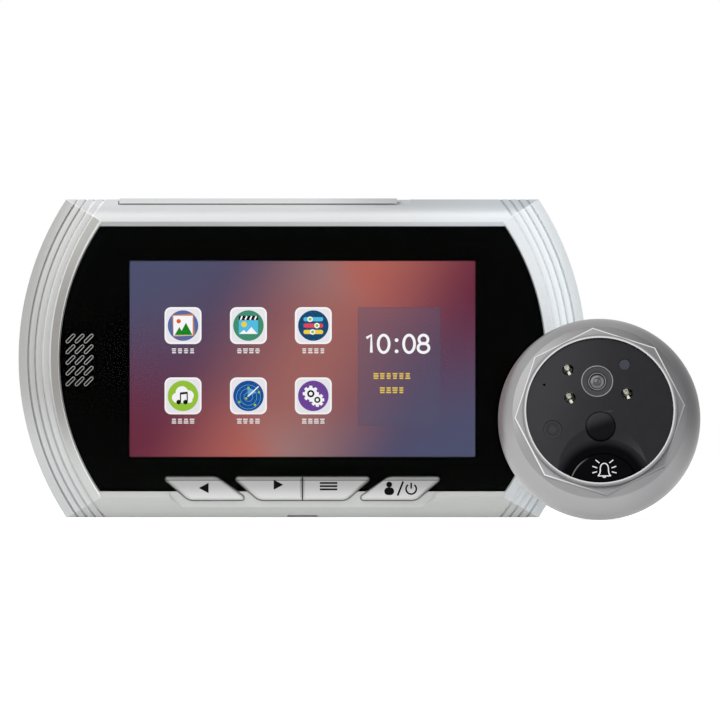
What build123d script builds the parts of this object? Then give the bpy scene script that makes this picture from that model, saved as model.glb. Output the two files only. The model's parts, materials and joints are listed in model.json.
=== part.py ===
# Peephole door camera: the indoor monitor and the round outdoor camera unit that stands in front of it.
# Millimetres. X runs to the right, Y away from the viewer, Z up from the foot of the monitor.
import os
from math import atan2, cos, radians, sin, sqrt

from build123d import *

os.makedirs("parts", exist_ok=True)

# Clearances and the overrun of the cuts
overrun = 1.0
snug_gap = 0.1
panel_gap = 0.25
moving_gap = 0.3
running_gap = 0.06

# Display, and the black frame that the window shows round it
display_width = 95.04
display_height = 53.86
display_margin = 0.4
window_side_frame = 19.33
window_end_frame = 9.595

# Monitor casing: outline and bezel, seen from the front
side_arc_rise = 13.1
side_bezel = 11.3
top_bezel = 7.35
low_bezel = 7.1
corner_bezel = 9.25
side_lip = 0.45
top_lip = 1.35
low_lip = 1.5
corner_draw = 0.4
lip_land = 0.2
casing_wall = 2.4

# Monitor casing: depths, counted from the foot line that carries the origin
front_depth = 12.5
slope_depth = 4.5
seam_depth = 2.0
back_depth = 3.5
window_sink = 1.0
ledge_thickness = 1.2
slope_shares = (0, 0.5, 1)

# Ribs along the curved sides
rib_count = 4
rib_start = 2.45
rib_pitch = 1.95
rib_groove = 0.6
rib_depth = 0.4

# Window, display module and the stack behind it
window_thickness = 1.4
mask_thickness = 0.1
lcd_side_border = 5.2
lcd_low_border = 4.2
lcd_high_border = 8.0
lcd_thickness = 3.0
lcd_glass_thickness = 2.0
lcd_tray_rim = 1.2
board_gap = 0.9
board_thickness = 1.2
board_side_space = 6.25
board_low_space = 1.2
board_high_space = 2.6
post_radius = 2.4
post_share = 0.42

# Speaker and its slanted slots
slot_columns = 3
slot_rows = 5
slot_spacing_x = 2.5
slot_spacing_z = 2.95
slot_width = 0.6
slot_length = 2.9
slot_bevel = 0.26
slot_lean = 45
speaker_space = 2.58
speaker_drop = 0.3
speaker_width = 12.0
speaker_height = 18.0
speaker_thickness = 2.5
speaker_rim = 1.2

# Keys: the side keys are mirror images, the centre pair is split by a seam
key_height = 6.2
key_drop = 2.25
side_key_top_outer = 38.6
side_key_top_inner = 23.65
side_key_low_outer = 31.2
side_key_low_inner = 14.9
centre_key_top = 19.2
centre_key_low = 12.0
key_sharp_radius = 0.6
key_round_radius = 3.2
key_proud = 1.2
key_bevel = 0.5
key_rim = 0.6
key_rim_thickness = 0.6
key_travel = 0.4
key_stem_radius = 1.2
switch_height = 0.8
switch_size = 3.0
pad_half_span = 36.7
pad_low_half_span = 31.6
pad_low_space = 1.6
pad_corner_radius = 3.0
pad_sink = 0.12

# Lid over the card slot in the top edge
lid_length = 76.4
lid_offset = -12.2
lid_thickness = 1.15
lid_proud = 0.28
lid_lug_radius = 0.72
lid_pip_radius = 0.4
lid_pip_length = 0.9
lid_back_depth = 0.2
notch_length = 3.6
card_offset = -20.0
card_width = 14.0
card_depth = 1.9
card_height = 15.0
card_mouth_width = 11.4
card_mouth_depth = 0.9
reset_hole_radius = 0.6
reset_hole_offset = -4.0

# Socket in the lower edge
usb_width = 7.6
usb_height = 5.6
usb_depth = 2.6
usb_relief_width = 8.2
usb_relief_depth = 0.6
usb_relief_back = 1.8
usb_shell = 0.3

# Rear casing, hook slots and the pocket of the sleeve flange
back_wall = 1.6
back_edge_radius = 1.5
round_shares = (0, 0.7, 1)
bracket_sink = 1.4
seat_wall = 1.5
pocket_depth = 3.5
pocket_wall = 1.2
pocket_gap = 1.5
ribbon_width = 13.2
ribbon_height = 4.6
ribbon_length = 4.7
ribbon_slot = 1.2
boss_radius = 3.0
boss_side_space = 14.65
boss_end_space = 12.5
screw_radius = 1.0
screw_hole_radius = 1.3
screw_head_radius = 2.2
screw_head_height = 1.2
screw_bite = 6.0

# Door bracket
bracket_width = 72.0
bracket_height = 46.0
bracket_thickness = 1.2
bracket_corner_radius = 3.0
bracket_proud = 0.1
bracket_screw_radius = 2.1
bracket_screw_span_x = 63.0
bracket_screw_span_z = 37.0
hook_width = 8.0
hook_height = 4.5
hook_span = 48.0
hook_high_offset = 10.0
hook_low_offset = -18.0
hook_inner_gap = 0.3

# Battery and chips
battery_side_space = 5.35
battery_height = 48.0
battery_thickness = 4.4
chip_height = 1.0

# Outdoor camera unit: lengths along its axis are counted from the back of the rim
rim_radius = 27.4
rim_land = 1.6
dome_height = 11.4
dome_radius = 23.6
dome_bulge = 1.08
dome_rise = 0.39
shoulder_height = 12.5
ridge_radius = 23.2
ridge_bevel = 0.4
ridge_height = 13.2
ridge_turn = 4.5
ring_radius = 20.9
ring_height = 15.0
ring_bevel = 0.3
face_radius = 19.95
face_height = 14.0
face_crown = 0.5
face_thickness = 1.8
bezel_wall = 2.0
face_seat = 1.35
face_seat_thickness = 1.0
camera_x = 80.65
stand_gap = 3.0

# Things in the face, as shares of the face radius
lens_share = (-0.034, 0.402)
led_shares = ((-0.43, 0.565), (-0.405, 0.175), (0.37, 0.235))
light_sensor_share = (0.337, 0.636)
microphone_share = (-0.753, 0.357)
indicator_share = (-0.64, -0.26)
motion_share = (0.01, -0.22)
call_share = (0.045, -1.06)
call_stem_share = (0.045, -0.72)
lens_radius = 4.25
lens_bore_radius = 1.4
lens_bore_depth = 3.0
lens_dish_bevel = 0.5
lens_edge = 0.25
lens_glass_radius = 2.2
lens_dish_depth = 1.3
lens_base_radius = 5.0
lens_base_height = 2.6
led_radius = 1.45
led_length = 5.0
led_leg_radius = 0.25
led_leg_space = 1.27
light_sensor_radius = 1.45
light_sensor_length = 3.0
microphone_hole_radius = 0.35
microphone_radius = 1.5
microphone_length = 1.5
indicator_radius = 2.4
indicator_thickness = 1.6
motion_radius = 4.0
motion_proud = 1.0
motion_edge = 0.9
motion_rim = 0.6
motion_sensor_radius = 3.2
motion_sensor_length = 3.4
call_radius = 9.3
call_proud = 0.9
call_travel = 0.8
call_bevel = 0.35
call_rim = 0.7
call_rim_thickness = 0.8
call_stem_radius = 1.6
scoop_radius = 13.0
scoop_depth = 0.7
call_switch_size = 6.0
call_switch_height = 2.0

# Back of the outdoor unit, barrel and clamp
camera_back_thickness = 2.0
camera_back_rebate = 2.1
camera_post_circle = 15.6
camera_post_radius = 2.0
camera_post_turns = (90, 232, 350)
camera_board_height = 6.4
camera_board_radius = 18.0
camera_board_thickness = 1.2
camera_screw_circle = 21.2
camera_boss_radius = 2.0
camera_boss_height = 9.6
camera_screw_turns = (30, 150, 270)
gasket_thickness = 1.5
gasket_radius = 25.4
gasket_bore = 12.0
barrel_radius = 7.0
barrel_bore = 5.5
barrel_edge = 0.6
barrel_screw_share = 0.7
barrel_reach = 38.0
barrel_flange_radius = 11.0
barrel_flange_thickness = 1.6
barrel_screw_circle = 9.2
barrel_screw_radius = 0.6
barrel_screw_head_radius = 1.1
barrel_screw_head_height = 0.7
sleeve_radius = 9.0
sleeve_length = 44.0
sleeve_reach = 68.0
sleeve_flange_radius = 14.0
sleeve_flange_thickness = 2.2
sleeve_notch_width = 3.0
sleeve_notch_depth = 2.6
sleeve_gap = 0.08
washer_radius = 13.0
washer_thickness = 1.5

# Depths of the monitor, worked out from the sizes above
ridge_y = -front_depth
edge_y = ridge_y + slope_depth
seam_y = seam_depth
back_y = seam_y + back_depth
window_y = ridge_y + window_sink
mask_y = window_y + window_thickness
ledge_y = mask_y + mask_thickness
cavity_y = ledge_y + ledge_thickness
lcd_back_y = ledge_y + lcd_thickness
board_y = lcd_back_y + board_gap
board_back_y = board_y + board_thickness
rear_inner_y = back_y - back_wall
seat_y = back_y - bracket_sink
seat_inner_y = seat_y - seat_wall
pocket_y = seat_y - pocket_depth
plate_back_y = back_y + bracket_proud
plate_front_y = plate_back_y - bracket_thickness

# Places of the monitor, worked out from the sizes above
casing_width = display_width + 2 * window_side_frame + 2 * side_bezel
casing_height = low_bezel + display_height + 2 * window_end_frame + top_bezel
corner_span = casing_width - 2 * side_arc_rise
casing_middle = casing_height / 2
window_low = low_bezel
window_high = casing_height - top_bezel
window_middle = (window_low + window_high) / 2
lcd_width = display_width + 2 * lcd_side_border
lcd_low = window_middle - display_height / 2 - lcd_low_border
lcd_high = window_middle + display_height / 2 + lcd_high_border
lcd_middle = (lcd_low + lcd_high) / 2
board_half_width = lcd_width / 2 + board_side_space
board_low = casing_wall + board_low_space
board_high = casing_height - casing_wall - board_high_space
board_middle = (board_low + board_high) / 2
post_x = (lcd_width / 2 + board_half_width) / 2 + board_side_space / 10
speaker_offset = lcd_width / 2 + speaker_space + speaker_width / 2
speaker_z = window_middle - speaker_drop
key_low = window_low - key_drop
key_high = key_low + key_height
key_front_y = window_y - key_proud
key_rim_y = cavity_y + moving_gap
key_rim_back_y = key_rim_y + key_rim_thickness
switch_y = board_y - switch_height
key_stem_y = switch_y - key_travel - moving_gap
boss_x = casing_width / 2 - boss_side_space
boss_low = boss_end_space
boss_high = casing_height - boss_end_space
lid_low = casing_height - lid_thickness
lid_left = lid_offset - lid_length / 2
lid_right = lid_offset + lid_length / 2
lid_pivot_y = lid_back_depth
lid_pivot_z = casing_height + lid_proud - lid_lug_radius
lid_seat_z = lid_low - moving_gap
bracket_travel = hook_height + moving_gap
bracket_z = casing_middle
sleeve_hole_radius = sleeve_radius + moving_gap
pocket_radius = sleeve_flange_radius + pocket_gap


def facing(depth):
    """The plane at this depth that faces the viewer, with X to the right and Z up."""
    return Plane.XZ.offset(-depth)


def outline(half_width, half_corner, low, high):
    """The monitor's outline: flat top and bottom edges joined by two shallow arcs."""
    middle = (low + high) / 2
    with BuildSketch(Plane.XY) as shape:
        with BuildLine():
            Line((-half_corner, low), (half_corner, low))
            ThreePointArc((half_corner, low), (half_width, middle), (half_corner, high))
            Line((half_corner, high), (-half_corner, high))
            ThreePointArc((-half_corner, high), (-half_width, middle), (-half_corner, low))
        make_face()
    add(shape.sketch)


def casing_section(share, inset=0):
    """Sizes of the casing's outline, from its outer edge (share 0) in to the ridge (share 1)."""
    return (
        casing_width / 2 - inset - share * (side_bezel - side_lip),
        corner_span / 2 - inset - share * (corner_bezel + corner_draw),
        inset + share * (low_bezel - low_lip),
        casing_height - inset - share * (top_bezel - top_lip),
    )


def window_section(inset=0):
    """Sizes of the window's outline."""
    return (
        casing_width / 2 - side_bezel - inset,
        corner_span / 2 - corner_bezel - inset,
        window_low + inset,
        window_high - inset,
    )


def slope_y(share):
    """Depth of the convex bezel at a share of the way in from its outer edge."""
    return edge_y - slope_depth * (1 - (1 - share) ** 2)


def casing_block(inset=0):
    """The solid form of the front casing, drawn in by inset on every side but the seam."""
    with BuildPart() as block:
        with BuildSketch(facing(seam_y)):
            outline(*casing_section(0, inset))
        extrude(amount=seam_y - edge_y - inset)
        for share in slope_shares:
            with BuildSketch(facing(slope_y(share) + inset)):
                outline(*casing_section(share, inset))
        loft()
    return block.part


def side_key_outline(grow=0):
    """The slanted outline of the right side key, grown by a clearance."""
    with BuildSketch(Plane.XY) as shape:
        with BuildLine():
            Polyline(
                (side_key_top_inner, key_high),
                (side_key_top_outer, key_high),
                (side_key_low_outer, key_low),
                (side_key_low_inner, key_low),
                close=True,
            )
        make_face()
        fillet(vertices().sort_by(Axis.X)[1:3], radius=key_round_radius)
        fillet(vertices().sort_by(Axis.X)[:1], radius=key_sharp_radius)
        fillet(vertices().sort_by(Axis.X)[-1:], radius=key_sharp_radius)
        if grow:
            offset(amount=grow)
    add(shape.sketch)


def centre_key_outline(grow=0):
    """The outline of the centre pair of keys, grown by a clearance."""
    with BuildSketch(Plane.XY) as shape:
        with BuildLine():
            Polyline(
                (-centre_key_top, key_high),
                (centre_key_top, key_high),
                (centre_key_low, key_low),
                (-centre_key_low, key_low),
                close=True,
            )
        make_face()
        fillet(vertices().group_by(Axis.Y)[-1], radius=key_sharp_radius)
        fillet(vertices().group_by(Axis.Y)[0], radius=key_round_radius)
        if grow:
            offset(amount=grow)
    add(shape.sketch)


def speaker_slots(width, length):
    """The slanted speaker slots, all at one size."""
    with Locations((-speaker_offset, speaker_z)):
        with GridLocations(slot_spacing_x, slot_spacing_z, slot_columns, slot_rows):
            SlotOverall(length, width, rotation=slot_lean)


# Front casing
side_arc_radius = (side_arc_rise**2 + casing_middle**2) / (2 * side_arc_rise)
side_arc_x = casing_width / 2 - side_arc_radius

with BuildPart() as rib_grooves:
    with BuildSketch(facing(seam_y)):
        with Locations((side_arc_x, casing_middle)):
            for number in range(rib_count):
                groove_radius = side_arc_radius - rib_start - number * rib_pitch
                Circle(groove_radius)
                Circle(groove_radius - rib_groove, mode=Mode.SUBTRACT)
        with Locations((corner_span / 4, casing_middle)):
            Rectangle(
                casing_width, casing_width, align=(Align.MIN, Align.CENTER), mode=Mode.INTERSECT
            )
        mirror(about=Plane.YZ)
    extrude(amount=seam_y - ridge_y)
    add(casing_block(rib_depth), mode=Mode.SUBTRACT)

with BuildPart() as key_pad:
    with BuildSketch(facing(window_y + pad_sink)):
        with BuildLine():
            Polyline(
                (-pad_half_span, window_low),
                (-pad_half_span, low_bezel - low_lip),
                (-pad_low_half_span, pad_low_space),
                (pad_low_half_span, pad_low_space),
                (pad_half_span, low_bezel - low_lip),
                (pad_half_span, window_low),
                close=True,
            )
        make_face()
        fillet(vertices().group_by(Axis.Y)[:-1], radius=pad_corner_radius)
    extrude(amount=front_depth)

with BuildPart() as front_casing:
    add(casing_block())
    add(rib_grooves.part, mode=Mode.SUBTRACT)
    # Window opening with its inner bevel
    with BuildSketch(facing(ridge_y)):
        outline(*casing_section(1, lip_land))
    with BuildSketch(facing(window_y)):
        outline(*window_section())
    loft(ruled=True, mode=Mode.SUBTRACT)
    with BuildSketch(facing(ledge_y)):
        outline(*window_section())
    extrude(amount=ledge_y - window_y, mode=Mode.SUBTRACT)
    add(key_pad.part, mode=Mode.SUBTRACT)
    # Cavity behind the ledge
    with BuildSketch(facing(seam_y)):
        outline(*casing_section(0, casing_wall))
    extrude(amount=seam_y - cavity_y, mode=Mode.SUBTRACT)
    # Display and speaker openings in the ledge
    with BuildSketch(facing(cavity_y)):
        with Locations((0, lcd_middle)):
            Rectangle(lcd_width + 2 * snug_gap, lcd_high - lcd_low + 2 * snug_gap)
        with Locations((-speaker_offset, speaker_z)):
            Rectangle(speaker_width - 2 * speaker_rim, speaker_height - 2 * speaker_rim)
    extrude(amount=cavity_y - ledge_y, mode=Mode.SUBTRACT)
    # Key openings
    with BuildSketch(facing(cavity_y)):
        side_key_outline(moving_gap)
        mirror(about=Plane.YZ)
    extrude(amount=cavity_y - ridge_y, mode=Mode.SUBTRACT)
    with BuildSketch(facing(cavity_y)):
        centre_key_outline(moving_gap)
    extrude(amount=cavity_y - ridge_y, mode=Mode.SUBTRACT)
    # Posts of the board and bosses of the casing screws
    with BuildSketch(facing(board_y)):
        with Locations((0, board_middle)):
            with GridLocations(2 * post_x, 2 * post_share * (board_high - board_low), 2, 2):
                Circle(post_radius)
    extrude(amount=board_y - cavity_y)
    with BuildSketch(facing(seam_y)):
        with Locations((0, casing_middle)):
            with GridLocations(2 * boss_x, boss_high - boss_low, 2, 2):
                Circle(boss_radius)
    extrude(amount=seam_y - cavity_y)
    with BuildSketch(facing(board_y)):
        with Locations((0, board_middle)):
            with GridLocations(2 * post_x, 2 * post_share * (board_high - board_low), 2, 2):
                Circle(screw_radius)
    extrude(amount=board_y - cavity_y, mode=Mode.SUBTRACT)
    with BuildSketch(facing(seam_y)):
        with Locations((0, casing_middle)):
            with GridLocations(2 * boss_x, boss_high - boss_low, 2, 2):
                Circle(screw_radius)
    extrude(amount=screw_bite, mode=Mode.SUBTRACT)
    # Seat of the lid, the finger notch, the card slot and the reset hole
    with BuildSketch(Plane.XY.offset(lid_seat_z)):
        with Locations((lid_offset, lid_pivot_y + lid_lug_radius + moving_gap)):
            Rectangle(lid_length + 2 * moving_gap, front_depth + seam_depth, align=(Align.CENTER, Align.MAX))
        with Locations((lid_right, lid_pivot_y + lid_lug_radius + moving_gap)):
            Rectangle(notch_length, front_depth + seam_depth, align=(Align.MIN, Align.MAX))
    extrude(amount=lid_thickness + overrun, mode=Mode.SUBTRACT)
    with BuildSketch(Plane.YZ.offset(lid_left - moving_gap - lid_pip_length)):
        with Locations((lid_pivot_y, lid_pivot_z)):
            Circle(lid_pip_radius + running_gap)
    extrude(amount=lid_length + 2 * moving_gap + 2 * lid_pip_length, mode=Mode.SUBTRACT)
    with BuildSketch(Plane.XY.offset(casing_height - casing_wall)):
        with Locations((card_offset, board_back_y + card_depth / 2)):
            Rectangle(card_width + 2 * snug_gap, card_depth + 2 * snug_gap)
        with Locations((reset_hole_offset, board_back_y + card_depth / 2)):
            Circle(reset_hole_radius)
    extrude(amount=casing_wall, mode=Mode.SUBTRACT)
    # Socket opening in the foot and its relief
    with BuildSketch(Plane.XY):
        with Locations((0, board_back_y + usb_depth / 2)):
            Rectangle(usb_width + 2 * panel_gap, usb_depth + 2 * panel_gap)
    extrude(amount=casing_wall, mode=Mode.SUBTRACT)
    with BuildSketch(Plane.XY):
        with Locations((0, -usb_relief_back)):
            Rectangle(usb_relief_width, front_depth, align=(Align.CENTER, Align.MAX))
    extrude(amount=usb_relief_depth, mode=Mode.SUBTRACT)
front_casing.part.label = "front_casing"

# Window panel
with BuildPart() as window_panel:
    with BuildSketch(facing(mask_y)):
        outline(*window_section(snug_gap))
    extrude(amount=window_thickness)
    with BuildSketch(facing(mask_y)):
        side_key_outline(moving_gap)
        mirror(about=Plane.YZ)
    extrude(amount=window_thickness, mode=Mode.SUBTRACT)
    with BuildSketch(facing(mask_y)):
        centre_key_outline(moving_gap)
    extrude(amount=window_thickness, mode=Mode.SUBTRACT)
    with BuildSketch(facing(mask_y)):
        speaker_slots(slot_width, slot_length)
    extrude(amount=window_thickness, mode=Mode.SUBTRACT)
    with BuildSketch(facing(window_y)):
        speaker_slots(slot_width + 2 * slot_bevel, slot_length + 2 * slot_bevel)
    extrude(amount=-slot_bevel, taper=45, mode=Mode.SUBTRACT)
window_panel.part.label = "window_panel"

# Printed mask behind the window
with BuildPart() as window_mask:
    with BuildSketch(facing(ledge_y)):
        outline(*window_section(snug_gap))
        with Locations((0, window_middle)):
            Rectangle(
                display_width + 2 * display_margin,
                display_height + 2 * display_margin,
                mode=Mode.SUBTRACT,
            )
    extrude(amount=mask_thickness)
    with BuildSketch(facing(ledge_y)):
        speaker_slots(slot_width, slot_length)
    extrude(amount=mask_thickness, mode=Mode.SUBTRACT)
    with BuildSketch(facing(ledge_y)):
        side_key_outline(moving_gap)
        mirror(about=Plane.YZ)
    extrude(amount=mask_thickness, mode=Mode.SUBTRACT)
    with BuildSketch(facing(ledge_y)):
        centre_key_outline(moving_gap)
    extrude(amount=mask_thickness, mode=Mode.SUBTRACT)
window_mask.part.label = "window_mask"

# Display module: the metal tray and the glass in it
with BuildPart() as lcd_frame:
    with BuildSketch(facing(lcd_back_y)):
        with Locations((0, lcd_middle)):
            Rectangle(lcd_width, lcd_high - lcd_low)
    extrude(amount=lcd_thickness)
    with BuildSketch(facing(ledge_y)):
        with Locations((0, lcd_middle)):
            Rectangle(lcd_width - 2 * lcd_tray_rim, lcd_high - lcd_low - 2 * lcd_tray_rim)
    extrude(amount=-lcd_glass_thickness, mode=Mode.SUBTRACT)
lcd_frame.part.label = "lcd_frame"

with BuildPart() as lcd_panel:
    with BuildSketch(facing(ledge_y)):
        with Locations((0, lcd_middle)):
            Rectangle(
                lcd_width - 2 * lcd_tray_rim - 2 * snug_gap,
                lcd_high - lcd_low - 2 * lcd_tray_rim - 2 * snug_gap,
            )
    extrude(amount=-lcd_glass_thickness)
lcd_panel.part.label = "lcd_panel"

# Main board with its screws, chips and sockets
with BuildPart() as main_board:
    with BuildSketch(facing(board_back_y)):
        with Locations((0, board_middle)):
            Rectangle(2 * board_half_width, board_high - board_low)
            with GridLocations(2 * post_x, 2 * post_share * (board_high - board_low), 2, 2):
                Circle(screw_hole_radius, mode=Mode.SUBTRACT)
    extrude(amount=board_thickness)
main_board.part.label = "main_board"

with BuildPart() as board_screws:
    with BuildSketch(facing(board_back_y)):
        with Locations((0, board_middle)):
            with GridLocations(2 * post_x, 2 * post_share * (board_high - board_low), 2, 2):
                Circle(screw_head_radius)
    extrude(amount=-screw_head_height)
    with BuildSketch(facing(board_back_y)):
        with Locations((0, board_middle)):
            with GridLocations(2 * post_x, 2 * post_share * (board_high - board_low), 2, 2):
                Circle(screw_radius - snug_gap)
    extrude(amount=board_thickness + (board_y - cavity_y) / 2)
board_screws.part.label = "board_screws"

chip_sizes = ((14.0, 14.0), (9.0, 12.0), (6.0, 6.0), (10.0, 5.0))
chip_place_shares = ((0.46, 0.22), (0.72, 0.2), (0.5, -0.3), (-0.62, 0.72))
with BuildPart() as board_chips:
    for (chip_width, chip_length), (share_x, share_z) in zip(chip_sizes, chip_place_shares):
        with BuildSketch(facing(board_back_y)):
            with Locations((share_x * board_half_width, board_middle + share_z * (board_high - board_low) / 2)):
                Rectangle(chip_width, chip_length)
        extrude(amount=-chip_height)
board_chips.part.label = "board_chips"

with BuildPart() as usb_socket:
    with BuildSketch(Plane.XY.offset(casing_wall)):
        with Locations((0, board_back_y + usb_depth / 2)):
            Rectangle(usb_width, usb_depth)
    extrude(amount=usb_height)
    with BuildSketch(Plane.XY.offset(casing_wall)):
        with Locations((0, board_back_y + usb_depth / 2)):
            Rectangle(usb_width - 2 * usb_shell, usb_depth - 2 * usb_shell)
            Rectangle(usb_width - usb_depth, usb_shell * 2, mode=Mode.SUBTRACT)
    extrude(amount=usb_height - usb_shell, mode=Mode.SUBTRACT)
usb_socket.part.label = "usb_socket"

with BuildPart() as card_socket:
    with BuildSketch(Plane.XY.offset(lid_seat_z - snug_gap)):
        with Locations((card_offset, board_back_y + card_depth / 2)):
            Rectangle(card_width, card_depth)
    extrude(amount=-card_height)
    with BuildSketch(Plane.XY.offset(lid_seat_z - snug_gap)):
        with Locations((card_offset, board_back_y + card_depth / 2)):
            Rectangle(card_mouth_width, card_mouth_depth)
    extrude(amount=snug_gap - card_height + usb_shell, mode=Mode.SUBTRACT)
card_socket.part.label = "card_socket"

with BuildPart() as ribbon_socket:
    with BuildSketch(facing(board_back_y)):
        with Locations((0, bracket_z)):
            Rectangle(ribbon_width, ribbon_height)
    extrude(amount=-ribbon_length)
    with BuildSketch(facing(board_back_y + ribbon_length)):
        with Locations((0, bracket_z)):
            Rectangle(ribbon_width - 2 * ribbon_slot, ribbon_height - 2 * ribbon_slot)
    extrude(amount=ribbon_length - ribbon_slot, mode=Mode.SUBTRACT)
ribbon_socket.part.label = "ribbon_socket"

with BuildPart() as key_switches:
    with BuildSketch(facing(board_y)):
        with Locations((0, (key_low + key_high) / 2)):
            with Locations(
                ((side_key_top_inner + side_key_low_outer) / 2, 0),
                (-(side_key_top_inner + side_key_low_outer) / 2, 0),
                (centre_key_low / 2, 0),
                (-centre_key_low / 2, 0),
            ):
                Rectangle(switch_size, switch_size)
    extrude(amount=switch_height)
key_switches.part.label = "key_switches"

# Speaker
with BuildPart() as speaker_frame:
    with BuildSketch(facing(cavity_y)):
        with Locations((-speaker_offset, speaker_z)):
            RectangleRounded(speaker_width, speaker_height, speaker_rim)
    extrude(amount=-speaker_thickness)
    with BuildSketch(facing(cavity_y)):
        with Locations((-speaker_offset, speaker_z)):
            RectangleRounded(
                speaker_width - 2 * speaker_rim, speaker_height - 2 * speaker_rim, speaker_rim
            )
    extrude(amount=-speaker_thickness / 2, mode=Mode.SUBTRACT)
speaker_frame.part.label = "speaker_frame"

with BuildPart() as speaker_cone:
    with BuildSketch(facing(cavity_y + speaker_thickness / 2)):
        with Locations((-speaker_offset, speaker_z)):
            RectangleRounded(
                speaker_width - 2 * speaker_rim - 2 * snug_gap,
                speaker_height - 2 * speaker_rim - 2 * snug_gap,
                speaker_rim,
            )
    extrude(amount=speaker_thickness / 4)
    chamfer(faces().sort_by(Axis.Y)[0].edges(), length=speaker_thickness / 6)
speaker_cone.part.label = "speaker_cone"

# Rear casing
seat_half_width = bracket_width / 2 + 2 * moving_gap
seat_low = bracket_z - bracket_height / 2 - bracket_travel - 2 * moving_gap
seat_high = bracket_z + bracket_height / 2 + 2 * moving_gap
hook_offsets = (hook_high_offset, hook_low_offset)
hook_slot_height = bracket_thickness + bracket_travel + 2 * moving_gap

with BuildPart() as rear_casing:
    with BuildSketch(facing(back_y - back_edge_radius)):
        outline(*casing_section(0))
    extrude(amount=back_y - back_edge_radius - seam_y)
    for share in round_shares:
        with BuildSketch(facing(back_y - back_edge_radius * (1 - share))):
            outline(*casing_section(0, back_edge_radius * (1 - sqrt(1 - share**2))))
    loft()
    with BuildSketch(facing(rear_inner_y)):
        outline(*casing_section(0, casing_wall))
    extrude(amount=rear_inner_y - seam_y, mode=Mode.SUBTRACT)
    # Sunk seat of the bracket, with the hook slots
    with BuildSketch(facing(back_y)):
        with Locations((0, (seat_low + seat_high) / 2)):
            Rectangle(2 * seat_half_width + 2 * seat_wall, seat_high - seat_low + 2 * seat_wall)
    extrude(amount=back_y - seat_inner_y)
    with BuildSketch(facing(back_y)):
        with Locations((0, (seat_low + seat_high) / 2)):
            RectangleRounded(2 * seat_half_width, seat_high - seat_low, bracket_corner_radius)
    extrude(amount=back_y - seat_y, mode=Mode.SUBTRACT)
    with BuildSketch(facing(seat_y)):
        for hook_offset in hook_offsets:
            with Locations((0, bracket_z + hook_offset + bracket_thickness + moving_gap)):
                with GridLocations(hook_span, 0, 2, 1):
                    Rectangle(
                        hook_width + 2 * moving_gap,
                        hook_slot_height,
                        align=(Align.CENTER, Align.MAX),
                    )
    extrude(amount=seat_y - seat_inner_y, mode=Mode.SUBTRACT)
    # Pocket of the sleeve flange, with the window of the ribbon socket
    with BuildSketch(facing(seat_inner_y)):
        with Locations((0, bracket_z)):
            Circle(pocket_radius + pocket_wall)
    extrude(amount=seat_inner_y - pocket_y + pocket_wall)
    with BuildSketch(facing(seat_y)):
        with Locations((0, bracket_z)):
            Circle(pocket_radius)
    extrude(amount=seat_y - pocket_y, mode=Mode.SUBTRACT)
    with BuildSketch(facing(pocket_y)):
        with Locations((0, bracket_z)):
            Rectangle(ribbon_width + 2 * panel_gap, ribbon_height + 2 * panel_gap)
    extrude(amount=pocket_wall, mode=Mode.SUBTRACT)
    # Bosses and holes of the casing screws
    with BuildSketch(facing(rear_inner_y)):
        with Locations((0, casing_middle)):
            with GridLocations(2 * boss_x, boss_high - boss_low, 2, 2):
                Circle(boss_radius)
    extrude(amount=rear_inner_y - seam_y)
    with Locations(facing(back_y)):
        with Locations((0, casing_middle)):
            with GridLocations(2 * boss_x, boss_high - boss_low, 2, 2):
                Hole(screw_hole_radius, depth=back_y - seam_y + overrun)
    with BuildSketch(facing(back_y)):
        with Locations((0, casing_middle)):
            with GridLocations(2 * boss_x, boss_high - boss_low, 2, 2):
                Circle(screw_head_radius + snug_gap)
    extrude(amount=screw_head_height + snug_gap, mode=Mode.SUBTRACT)
rear_casing.part.label = "rear_casing"

screw_seat_y = back_y - screw_head_height - snug_gap
with BuildPart() as casing_screws:
    with BuildSketch(facing(screw_seat_y)):
        with Locations((0, casing_middle)):
            with GridLocations(2 * boss_x, boss_high - boss_low, 2, 2):
                Circle(screw_head_radius)
    extrude(amount=-screw_head_height)
    with BuildSketch(facing(screw_seat_y)):
        with Locations((0, casing_middle)):
            with GridLocations(2 * boss_x, boss_high - boss_low, 2, 2):
                Circle(screw_radius - snug_gap)
    extrude(amount=screw_seat_y - seam_y + screw_bite - overrun)
casing_screws.part.label = "casing_screws"

# The battery lies between the bracket seat and the side wall
battery_right = seat_half_width + seat_wall + moving_gap
battery_left = casing_width / 2 - casing_wall - battery_side_space
with BuildPart() as battery:
    with BuildSketch(facing(rear_inner_y)):
        with Locations((-battery_right, casing_middle)):
            Rectangle(battery_left - battery_right, battery_height, align=(Align.MAX, Align.CENTER))
    extrude(amount=battery_thickness)
    fillet(edges().filter_by(Axis.Z), radius=battery_thickness / 4)
battery.part.label = "battery"

# Keys
key_middle = (key_low + key_high) / 2

with BuildPart() as key_power:
    with BuildSketch(facing(key_rim_y)):
        side_key_outline()
    extrude(amount=key_rim_y - key_front_y)
    chamfer(faces().sort_by(Axis.Y)[0].edges(), length=key_bevel)
    with BuildSketch(facing(key_rim_back_y)):
        side_key_outline(key_rim)
    extrude(amount=key_rim_thickness)
    with BuildSketch(facing(key_stem_y)):
        with Locations(((side_key_top_inner + side_key_low_outer) / 2, key_middle)):
            Circle(key_stem_radius)
    extrude(amount=key_stem_y - key_rim_back_y)
key_power.part.label = "key_power"

with BuildPart() as key_left:
    add(mirror(key_power.part, about=Plane.YZ, mode=Mode.PRIVATE))
key_left.part.label = "key_left"

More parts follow.
